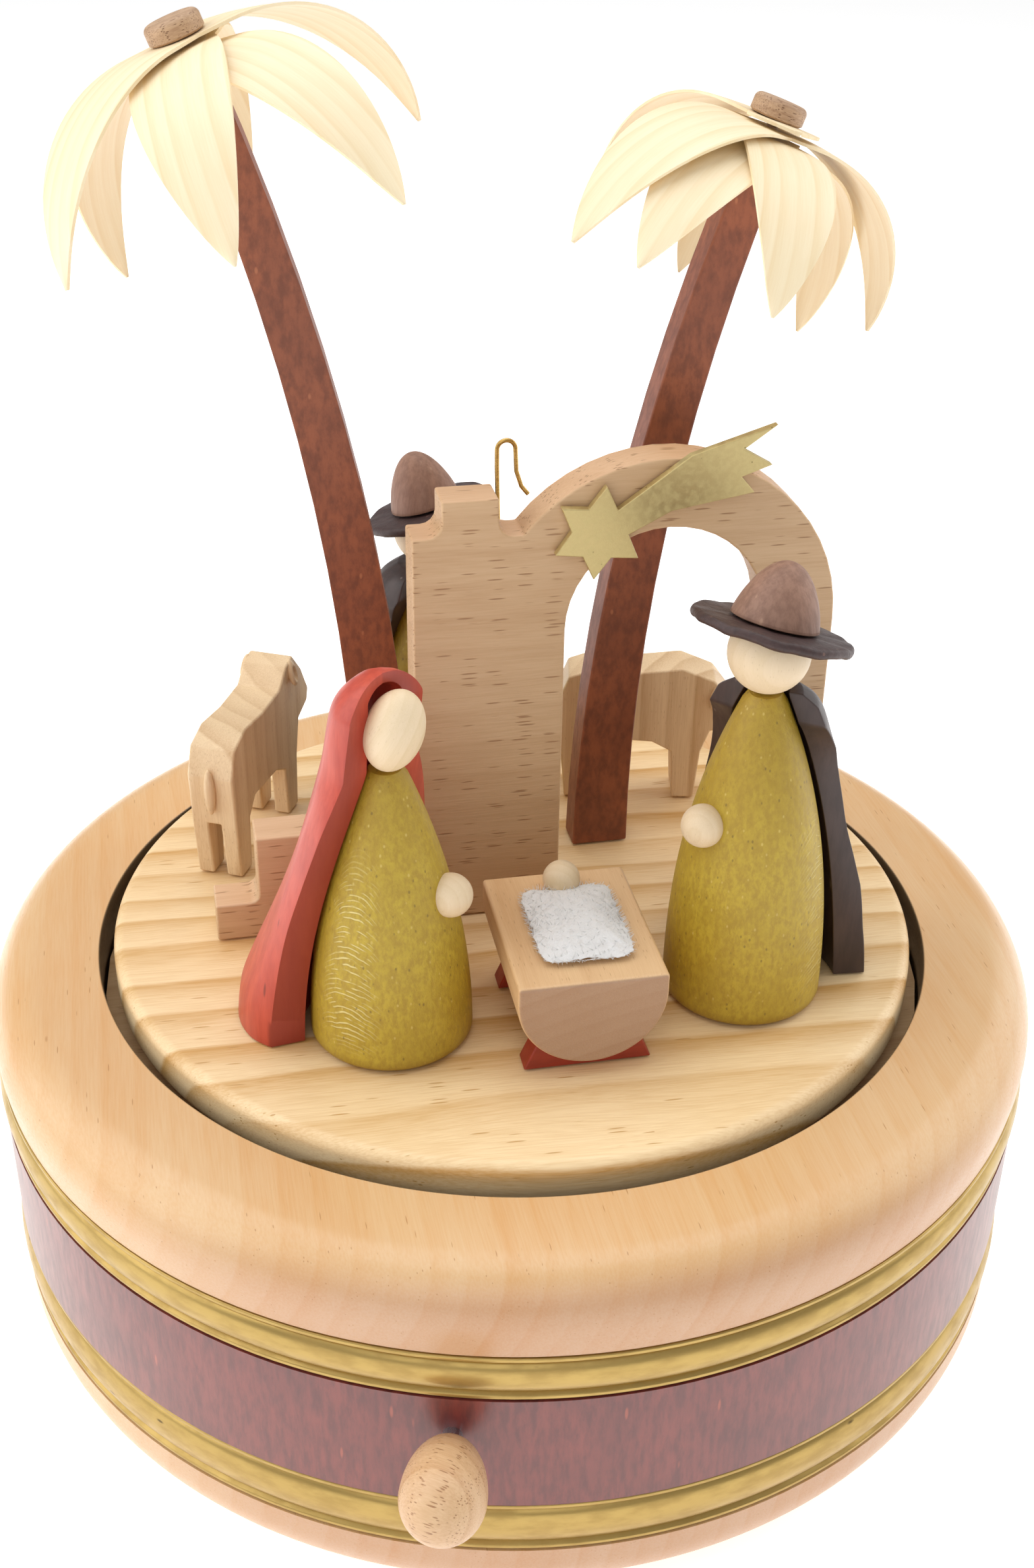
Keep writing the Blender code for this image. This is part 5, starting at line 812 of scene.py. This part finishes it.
class MUSICBOX_OT_heads(bpy.types.Operator):
    """Turns the heads, and the brims and crowns of the hats"""
    bl_idname = "musicbox.heads"
    bl_label = "Heads and hats"

    def execute(self, context):
        given = context.scene.music_box_figures
        lean = Matrix.Translation((-24.8 * MM, -33.6 * MM, 124.5 * MM)) @ Matrix.Rotation(math.radians(17.0), 4, "Y")
        finish = wood("egg head wood", tuple(given.pale), srgb(224, 200, 158), (0.3, math.radians(60.0), 0.4),
                      (0.0, 0.03, 0.02), ring=1.6, wave=1.6, fibre=0.18, pore=0.9, pores=0.04, pore_tone=0.2,
                      rings=0.5, fibres=0.25, cloud=0.3, rough=0.5, coat=0.05, bump=0.04)
        put("hooded_head", "turned", ball([4.4 * MM, 4.4 * MM, 6.4 * MM], lean), finish)
        crown_finish = carved_stain("hat crown stain", tuple(given.hat), srgb(122, 88, 72), srgb(176, 140, 116),
                                    scale=900.0, amount=0.7, specks=0.12, rough=0.55, coat=0.0,
                                    stretch=(1.0, 1.0, 0.16), bump=0.16)
        brim_finish = carved_stain("hat brim stain", tuple(given.brim), srgb(44, 30, 30), srgb(116, 88, 78),
                                   scale=700.0, amount=0.6, specks=0.1, rough=0.5, coat=0.05,
                                   stretch=(1.0, 1.0, 1.0), bump=0.3)
        for name, figure, radius, wide, angle, towards in (
                ("hatted", HATTED, 12.7 * MM, 6.8 * MM, 19.4, math.radians(33.8)),
                ("herdsman", HERDSMAN, 11.3 * MM, 6.2 * MM, 16.8, math.radians(152.4))):
            axis = Vector((-math.sin(towards), math.cos(towards), 0.0))
            head_height, brim_height = figure["top"] + 6.6 * MM, figure["top"] + 9.4 * MM
            tilt = (Matrix.Translation((figure["x"], figure["y"], brim_height))
                    @ Matrix.Rotation(math.radians(angle), 4, axis))
            draft = bmesh.new()
            bmesh.ops.create_uvsphere(draft, u_segments=48, v_segments=32, radius=6.3 * MM)
            bmesh.ops.translate(draft, verts=draft.verts, vec=(figure["x"], figure["y"], head_height))
            cut = bmesh.ops.bisect_plane(draft, geom=draft.verts[:] + draft.edges[:] + draft.faces[:],
                                         plane_co=tilt @ Vector((0.0, 0.0, -SEAT)),
                                         plane_no=tilt.to_3x3() @ Vector((0.0, 0.0, 1.0)), clear_outer=True)
            rim = [item for item in cut["geom_cut"] if isinstance(item, bmesh.types.BMEdge)]
            bmesh.ops.edgeloop_fill(draft, edges=rim)
            finish = wood(f"{name} head wood", tuple(given.pale), srgb(228, 204, 164), UPRIGHT, (0.0, 0.02, 0.03),
                          ring=1.8, wave=1.4, fibre=0.2, pore=0.9, pores=0.04, pore_tone=0.2, rings=0.45, fibres=0.25,
                          cloud=0.3, rough=0.5, coat=0.05, bump=0.04)
            put(f"{name}_head", "turned", finished(draft), finish)
            thick = 1.6 * MM
            profile = [(0.0, thick), (radius * 0.5, thick)]
            profile += arc((radius - thick / 2.0, thick / 2.0), thick / 2.0, 90.0, -90.0, 8) + [(0.0, 0.0)]
            brim = turned(profile, 96)
            for vert in brim.vertices:
                out = min(1.0, vert.co.xy.length / radius) ** 2
                angle = math.atan2(vert.co.y, vert.co.x)
                wave = noise.noise((math.cos(angle) * 2.2, math.sin(angle) * 2.2, radius * 300.0))
                fine = noise.noise((vert.co.x * 500.0, vert.co.y * 500.0, vert.co.z * 200.0))
                vert.co.z += out * (wave * 0.45 + fine * 0.14) * MM
                vert.co.xy = vert.co.xy * (1.0 - out * (0.02 + 0.02 * wave))
            brim.transform(tilt)
            put(f"{name}_brim", "turned", brim, brim_finish)
            low, high = 1.9 * MM, 9.4 * MM
            dome = [(0.0, low + high)]
            for step in range(1, 25):
                share = math.sin(step / 25.0 * math.pi / 2.0)
                dome.append((wide * share, low + high * (1.0 - share ** 2) ** 0.75))
            dome += [(wide, low + 0.5 * MM), (wide - 0.3 * MM, low), (0.0, low)]
            put(f"{name}_crown", "turned", turned(dome, 72, tilt), crown_finish)
        return {"FINISHED"}


# Outlines of the cloaks' backs: height above the disc and distance from the robe's axis, in millimetres
HOOD_ROWS = (
    (0.0, 26.4), (5.7, 25.4), (13.7, 22.0), (22.7, 17.8), (32.7, 14.0), (41.7, 11.2), (48.0, 9.6), (53.7, 8.6),
    (57.5, 7.4), (60.3, 5.2), (61.8, 2.8), (62.3, 0.0),
)
SHOULDER_ROWS = (
    (0.0, 24.0), (6.7, 22.6), (15.0, 19.7), (28.0, 15.6), (40.0, 12.6), (48.0, 10.6), (51.7, 8.8), (54.2, 5.6),
)


class MUSICBOX_OT_cloaks(bpy.types.Operator):
    """Carves the three cloaks"""
    bl_idname = "musicbox.cloaks"
    bl_label = "Cloaks"

    def cloak(self, figure, rows, turn, hem, top, power, scale, tall, flare):
        """The mesh of a cloak: a thick carved shell round the back of a robe, open at the front.

        turn is where its middle points, hem and top are half its angle below and above, power shapes the way between
        them, scale and tall stretch its outline, and flare opens the gap to the robe at the hem.
        """
        tallest = rows[-1][0] * tall
        closed = rows[-1][1] == 0.0
        gap, thinnest, rim = 0.6, 3.6, 4.0
        facet, facet_depth, knife_marks = math.radians(24.0), 0.45, 0.22

        def point(u, v, outside):
            height, back = between(rows, v)
            height, back = min(tallest, max(0.0, height * tall)), max(0.0, back)
            share = height / tallest
            half = hem + (top - hem) * min(1.0, share * 1.1) ** power
            side = 2.0 * u - 1.0
            angle = math.radians(turn + half * side)
            inner = robe_radius(figure, FLOOR + height * MM) / MM + gap + flare * (1.0 - share) ** 2
            fade = min(1.0, max(0.0, (0.92 - share) / 0.12))
            back = max(back * (scale * fade + 1.0 - fade), (inner + thinnest) * fade)
            if closed and share > 0.7:
                inner = min(inner, 0.6 * back)
            edge = min(back, inner + rim + 1.5 * (1.0 - share))
            radius = edge + (back - edge) * (1.0 - abs(side) ** 3) if outside else inner
            if outside:
                within = (angle + facet / 2.0) % facet - facet / 2.0
                flat = math.cos(facet / 2.0) / math.cos(within)
                radius *= 1.0 + (flat - 1.0) * facet_depth
                cut = noise.noise((angle * 3.0, height * 0.12, figure["x"] * 90.0))
                radius += knife_marks * cut * min(1.0, radius / 4.0)
            z = height
            if closed and not outside and share > 0.9:
                z -= 1.6 * (share - 0.9) / 0.1
            return (figure["x"] + radius * MM * math.cos(angle), figure["y"] + radius * MM * math.sin(angle),
                    FLOOR + z * MM)

        draft = sheet(56, 60, lambda u, v: point(u, v, True), lambda u, v: point(u, v, False))
        bmesh.ops.remove_doubles(draft, verts=draft.verts, dist=0.001 * MM)
        bmesh.ops.recalc_face_normals(draft, faces=draft.faces)
        rounded(draft, 0.9 * MM, 3, 50.0)
        return finished(draft)

    def execute(self, context):
        given = context.scene.music_box_figures
        # The red cloak's rim colour is a painted shade on its front edge faces, which face -Y.
        red = carved_stain("red cloak stain", tuple(given.red_cloak), srgb(158, 44, 32), srgb(110, 28, 20),
                           scale=330.0, amount=0.55, specks=0.05, rough=0.42, coat=0.15, stretch=(1.0, 1.0, 0.14),
                           bump=0.12, rim=srgb(140, 44, 30))
        dark = carved_stain("dark cloak stain", tuple(given.dark_cloak), srgb(44, 32, 31), srgb(150, 130, 122),
                            scale=420.0, amount=0.6, specks=0.07, rough=0.46, coat=0.12, stretch=(1.0, 1.0, 0.2),
                            bump=0.1)
        names = ("turn", "hem", "top", "power", "scale", "tall", "flare")
        for name, figure, rows, shape, finish in (
                ("hooded", HOODED, HOOD_ROWS, (128.0, 60.0, 95.0, 2.0, 1.0, 1.0, 0.8), red),
                ("hatted", HATTED, SHOULDER_ROWS, (50.5, 55.5, 82.0, 12.0, 1.0, 1.0, 2.4), dark),
                ("herdsman", HERDSMAN, SHOULDER_ROWS, (130.0, 72.0, 95.0, 6.0, 0.78, 0.925, 0.5), dark)):
            mesh = self.cloak(figure, rows, **dict(zip(names, shape)))
            put(f"{name}_cloak", "carved", mesh, finish, angle=60.0)
        return {"FINISHED"}


class MUSICBOX_OT_crook(bpy.types.Operator):
    """Bends the brass crook"""
    bl_idname = "musicbox.crook"
    bl_label = "Crook"

    def execute(self, context):
        x, y, bend, radius = 2.6, 29.9, 142.0, 1.6
        points = [(4.3, 29.4, 68.0), (4.0, 29.5, 85.0), (x, y, 139.0)]
        points += [(px, y, pz) for px, pz in arc((x + radius, bend), radius, 180.0, 0.0, 20)]
        end = x + 2.0 * radius
        points += [(end + 0.2, y, bend - 4.0), (end + 1.1, y, bend - 6.8), (end + 2.3, y, bend - 8.3)]
        mesh = tube([Vector(point) * MM for point in points], 0.4 * MM)
        put("herdsman_crook", "bent", mesh, metal("brass wire", srgb(206, 170, 100), 0.3))
        return {"FINISHED"}


# Each palm: place, compass bearing of its lean, radius of its bend, height, and for each strip of leaves the bearing
# and the length in millimetres of its two halves
PALMS = {
    "left": (-19.4 * MM, 19.9 * MM, 175.0, 377.0 * MM, 136.3 * MM, (
        ((305.0, 46.6), (134.0, 52.1)), ((262.0, 45.1), (88.0, 48.1)), ((213.0, 43.6), (32.0, 49.1)))),
    "right": (19.5 * MM, 18.2 * MM, 0.0, 346.6 * MM, 122.4 * MM, (
        ((231.0, 41.5), (37.0, 50.0)), ((267.0, 41.9), (77.0, 50.5)), ((212.0, 45.0), (13.0, 46.5)),
        ((109.0, 49.5), (289.0, 7.0)))),
}
LEAF_PITCH = 1.25 * MM       # from one strip to the next along the trunk's end
LEAF_FLAT = 5.5 * MM         # flat part beside the middle of a strip
LEAF_BEND = 29.0 * MM        # radius of the bend beyond it


def palm_head(x, y, compass, bend, height):
    """The place of a palm's head: local Z along the trunk's end, local X as near to +X as it lies."""
    lean = math.asin(height / bend)
    turn = math.radians(compass)
    reach = bend * (1.0 - math.cos(lean))
    axis = Vector((math.cos(turn) * math.sin(lean), math.sin(turn) * math.sin(lean), math.cos(lean)))
    first = Vector((0.0, 1.0, 0.0)).cross(axis).normalized()
    place = Matrix((first, axis.cross(first), axis)).transposed().to_4x4()
    place.translation = (x + reach * math.cos(turn), y + reach * math.sin(turn), FLOOR + height)
    return place


class MUSICBOX_OT_palms(bpy.types.Operator):
    """Makes the palm trunks, the bent strips of their leaves and the buttons"""
    bl_idname = "musicbox.palms"
    bl_label = "Palms"

    def strip(self, halves, layer, thick, half_width):
        """The draft of one bent strip that makes two pointed leaves, with its run and width as a UV map."""
        first, second = halves

        def section(run):
            """Middle, normal, sideways direction, half width and run in metres, from one tip at -1 to one at 1."""
            ahead = run > 0.0
            azimuth, size = second if ahead else first
            size *= MM
            share = abs(run)
            turn = math.radians(azimuth)
            along = Vector((math.cos(turn), math.sin(turn), 0.0))
            flat = min(0.5, LEAF_FLAT / size) * size
            if share <= 0.25:
                distance = share * 4.0 * flat
            else:
                distance = flat + (share - 0.25) / 0.75 * (size - flat)
            bend = max(0.0, distance - LEAF_FLAT) / LEAF_BEND
            outline = math.sin(math.pi * (0.22 + 0.78 * distance / size))
            half = max(0.16 * MM, half_width * max(0.0, outline) ** 0.8)
            reach = min(distance, LEAF_FLAT) + LEAF_BEND * math.sin(bend)
            middle = along * reach - Vector((0.0, 0.0, LEAF_BEND * (1.0 - math.cos(bend))))
            normal = Vector((0.0, 0.0, math.cos(bend))) + along * math.sin(bend)
            side = Vector((-along.y, along.x, 0.0)) * (1.0 if ahead else -1.0)
            other = math.radians(first[0] if ahead else second[0])
            across = side + Vector((-math.sin(other), math.cos(other), 0.0)) * (-1.0 if ahead else 1.0)
            side = side.lerp(across.normalized(), max(0.0, 1.0 - share / 0.2)).normalized()
            return middle, normal, side, half, distance * (1.0 if ahead else -1.0)

        base = Vector((0.0, 0.0, SEAT + layer * LEAF_PITCH))

        def face(u, v, lift):
            middle, normal, side, half, _ = section(2.0 * u - 1.0)
            across = 2.0 * v - 1.0
            cup = 0.35 * MM * (1.0 - across * across) * min(1.0, abs(2.0 * u - 1.0) * 3.0)
            return base + middle + normal * (lift + cup * 0.6) + side * half * across

        def unwrap(u, v):
            _, _, _, half, distance = section(2.0 * u - 1.0)
            return distance, half * (2.0 * v - 1.0)

        return sheet(64, 6, lambda u, v: face(u, v, thick), lambda u, v: face(u, v, 0.0), unwrap)

    def execute(self, context):
        given = context.scene.music_box_scene
        brown = carved_stain("palm stain", tuple(given.palm), srgb(100, 52, 34), srgb(176, 108, 72), scale=700.0,
                             amount=0.7, specks=0.05, rough=0.5, coat=0.03, stretch=(1.0, 1.0, 0.5), bump=0.05)
        veneer = wood("veneer", tuple(given.veneer), srgb(236, 208, 158), pith=(0.0, 0.012, 0.006), ring=2.6,
                      wave=3.0, pore=2.5, pores=0.0, pore_tone=0.12, fibres=0.2, cloud=0.2, rough=0.5, bump=0.02,
                      uv="leaf")
        for side, (x, y, compass, bend, height, leaves) in PALMS.items():
            trunk = f"{side}_palm_trunk"
            put_sawn(trunk, softened(trunk, 0.35 * MM), brown)
            head = palm_head(x, y, compass, bend, height)
            for layer, halves in enumerate(leaves):
                draft = self.strip(halves, layer, given.leaf_thickness, given.leaf_width)
                put(f"{side}_palm_leaves_{layer + 1}", "bent", finished(draft, head), veneer, angle=50.0)
            low = SEAT + len(leaves) * LEAF_PITCH - 0.6 * MM
            high = low + 2.9 * MM
            pin, deep = 0.9 * MM, -5.0 * MM
            profile = [(0.0, high)] + arc((3.3 * MM, high - 1.0 * MM), 1.0 * MM, 90.0, 0.0, 8)
            profile += [(4.3 * MM, low + 0.3 * MM), (3.9 * MM, low), (pin, low), (pin, deep), (0.0, deep)]
            finish = wood(f"{side} button wood", srgb(206, 172, 138), srgb(150, 112, 80),
                          tuple(head.to_3x3().inverted().to_euler()), (0.0, 0.03, 0.02), ring=1.6, wave=1.2,
                          fibre=0.2, pore=2.2, pores=0.5, pore_tone=0.65, rings=0.5, fibres=0.4, cloud=0.3, rough=0.5,
                          bump=0.08)
            put(f"{side}_palm_button", "turned", turned(profile, 48, head), finish)
        return {"FINISHED"}


class MUSICBOX_OT_animals(bpy.types.Operator):
    """Rounds the edges of the sawn animals and gives them their ears and one its tail"""
    bl_idname = "musicbox.animals"
    bl_label = "Animals"

    def ear(self, place):
        """The mesh of a small drop-shaped ear with a hollowed face."""
        draft = bmesh.new()
        bmesh.ops.create_uvsphere(draft, u_segments=32, v_segments=24, radius=1.0)
        for vert in draft.verts:
            drop = 1.0 - 0.35 * (vert.co.z * 0.5 + 0.5)
            inside = max(0.0, 1.0 - (vert.co.x / 0.62) ** 2 - ((vert.co.z + 0.1) / 0.66) ** 2)
            hollow = 0.75 * inside if vert.co.y < 0.0 else 0.0
            vert.co = (vert.co.x * 1.5 * drop * MM, (vert.co.y * 0.8 + hollow) * MM, vert.co.z * 2.6 * MM)
        bmesh.ops.transform(draft, matrix=place, verts=draft.verts)
        return finished(draft)

    def execute(self, context):
        given = context.scene.music_box_scene
        for name, x, y, compass, along, up in (("left", -43.5, 29.3, 63.0, 13.2, 28.0),
                                               ("right", 27.8, 34.7, -12.0, 17.6, 21.6)):
            turn = math.radians(compass)
            spot = Matrix.Translation((x * MM, y * MM, FLOOR)) @ Matrix.Rotation(turn, 4, "Z")
            lay = Matrix.Rotation(math.pi / 2.0, 3, "Y") @ Matrix.Rotation(-turn - math.pi / 2.0, 3, "Z")
            finish = wood(f"{name} plank", tuple(given.plank), srgb(204, 168, 124), tuple(lay.to_euler()),
                          (0.0, 0.09, 0.0), ring=4.2, pore=1.2, pores=0.08, pore_tone=0.25, rings=0.7, rough=0.5,
                          coat=0.03, bump=0.05)
            body = softened(f"{name}_animal", 0.45 * MM)
            if name == "right":
                muzzle = spot @ Matrix.Translation((22.0 * MM, 0.0, 0.0))
                shorter = Matrix.Diagonal((0.91, 1.0, 1.0, 1.0))
                body.transform(muzzle @ shorter @ muzzle.inverted())
            added = []
            for side, half_turn in ((-1.0, 0.0), (1.0, math.pi)):
                added.append(self.ear(spot @ Matrix.Translation((along * MM, side * 4.6 * MM, up * MM))
                                      @ Matrix.Rotation(0.25 * side, 4, "X") @ Matrix.Rotation(half_turn, 4, "Z")))
            if name == "left":
                tail = spot @ Matrix.Translation((-15.5 * MM, 0.0, 18.0 * MM))
                added.append(ball([0.9 * MM, 1.0 * MM, 4.5 * MM], tail, 20, 16))
            put_sawn(f"{name}_animal", joined(body, *added), finish)
        return {"FINISHED"}


class MUSICBOX_OT_movement(bpy.types.Operator):
    """Gives the boards, the screws and the movement inside the drum their finishes"""
    bl_idname = "musicbox.movement"
    bl_label = "Boards and movement"

    def execute(self, context):
        board = wood("plywood", srgb(220, 182, 132), srgb(186, 140, 92), pith=(0.0, 0.2, 0.1), ring=6.0, wave=4.0,
                     fibre=0.3, pore=3.0, pores=0.15, pore_tone=0.3, rings=0.5, fibres=0.35, cloud=0.3, rough=0.6)
        steel = metal("steel", srgb(196, 198, 204), 0.3)
        brass = metal("movement brass", srgb(214, 178, 104), 0.3)
        zinc = metal("cast zinc", srgb(150, 152, 156), 0.52)
        screws = [f"{place}_screw_{number}" for place in ("bottom", "movement") for number in (1, 2, 3)]
        for finish, nodes in (
                (board, ("bottom_board", "mount_board")), (zinc, ("bedplate",)),
                (steel, ("comb", "turntable_spindle", "stop_rod", *screws)),
                (brass, ("spindle_bush", "spring_barrel", "winding_key", "pin_cylinder", "governor"))):
            for node in nodes:
                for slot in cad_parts[node].material_slots:
                    slot.material = finish
        return {"FINISHED"}


class MUSICBOX_OT_stage(bpy.types.Operator):
    """Lays the floor, sets up the lights and places the camera"""
    bl_idname = "musicbox.stage"
    bl_label = "Stage"

    def execute(self, context):
        given = context.scene.music_box_stage
        draft = bmesh.new()
        bmesh.ops.create_circle(draft, cap_ends=True, segments=64, radius=4.0)
        bmesh.ops.translate(draft, verts=draft.verts, vec=(0.0, 0.0, -0.05 * MM))
        floor = bpy.data.objects.new("floor", finished(draft))
        context.scene.collection.objects.link(floor)
        made, tree, shader = blank("pale floor", roughness=0.9, emission_color=(1.0, 1.0, 1.0, 1.0),
                                   emission_strength=0.62)
        shown = mixed(tree, clouds(tree, local(tree), 6.0), tuple(given.floor), shade(tuple(given.floor), 0.02))
        tree.links.new(shown, shader.inputs["Base Color"])
        floor.data.materials.append(made)
        for name, place, size, power in (("left light", (-0.75, 0.05, 0.55), 0.9, 4.6),
                                         ("right light", (0.75, 0.1, 0.5), 0.9, 3.6),
                                         ("top light", (-0.05, 0.25, 1.0), 1.0, 5.6),
                                         ("front light", (-0.3, -0.95, 0.75), 0.8, 2.2)):
            lamp = bpy.data.lights.new(name, "AREA")
            lamp.shape = "SQUARE"
            lamp.size = size
            lamp.energy = power * given.light
            obj = bpy.data.objects.new(name, lamp)
            obj.location = place
            aim = SCENE_MIDDLE - Vector(place)
            obj.rotation_euler = aim.to_track_quat("-Z", "Y").to_euler()
            context.scene.collection.objects.link(obj)
        world = bpy.data.worlds.new("studio")
        world.use_nodes = True
        sky = world.node_tree.nodes["Background"]
        sky.inputs["Color"].default_value = (1.0, 1.0, 1.0, 1.0)
        sky.inputs["Strength"].default_value = 0.34
        context.scene.world = world
        lens = bpy.data.cameras.new("camera")
        lens.lens = given.lens
        lens.sensor_width = 36.0
        lens.clip_start = 0.01
        camera = bpy.data.objects.new("camera", lens)
        turn = (Matrix.Rotation(math.radians(-12.1), 4, "Z") @ Matrix.Rotation(math.radians(59.6), 4, "X")
                @ Matrix.Rotation(math.radians(0.84), 4, "Z"))
        camera.matrix_world = Matrix.Translation(given.camera) @ turn
        context.scene.collection.objects.link(camera)
        context.scene.camera = camera
        context.scene.view_settings.view_transform = "Standard"
        return {"FINISHED"}


OPERATORS = (
    MUSICBOX_OT_groups, MUSICBOX_OT_drum, MUSICBOX_OT_knob, MUSICBOX_OT_disc, MUSICBOX_OT_wall,
    MUSICBOX_OT_cradle, MUSICBOX_OT_fleece, MUSICBOX_OT_robes, MUSICBOX_OT_heads, MUSICBOX_OT_cloaks,
    MUSICBOX_OT_crook, MUSICBOX_OT_palms, MUSICBOX_OT_animals, MUSICBOX_OT_movement, MUSICBOX_OT_stage,
)
SETTINGS = (
    ("music_box_drum", DrumSettings), ("music_box_figures", FigureSettings), ("music_box_scene", SceneSettings),
    ("music_box_stage", StageSettings),
)


class MUSICBOX_PT_panel(bpy.types.Panel):
    """The sidebar panel that lists the settings and the operators"""
    bl_idname = "MUSICBOX_PT_panel"
    bl_label = "Music box"
    bl_space_type = "VIEW_3D"
    bl_region_type = "UI"
    bl_category = "Music box"

    def draw(self, context):
        for attribute, settings in SETTINGS:
            column = self.layout.column(heading=settings.__doc__)
            for key in settings.__annotations__:
                column.prop(getattr(context.scene, attribute), key)
        for operator in OPERATORS:
            self.layout.operator(operator.bl_idname)


def register():
    for attribute, settings in SETTINGS:
        bpy.utils.register_class(settings)
        setattr(bpy.types.Scene, attribute, PointerProperty(type=settings))
    for operator in OPERATORS:
        bpy.utils.register_class(operator)
    bpy.utils.register_class(MUSICBOX_PT_panel)


def unregister():
    bpy.utils.unregister_class(MUSICBOX_PT_panel)
    for operator in reversed(OPERATORS):
        bpy.utils.unregister_class(operator)
    for attribute, settings in reversed(SETTINGS):
        delattr(bpy.types.Scene, attribute)
        bpy.utils.unregister_class(settings)


def main():
    register()
    for operator in OPERATORS:
        getattr(bpy.ops.musicbox, operator.bl_idname.split(".")[1])()
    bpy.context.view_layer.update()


if __name__ == "__main__":
    main()
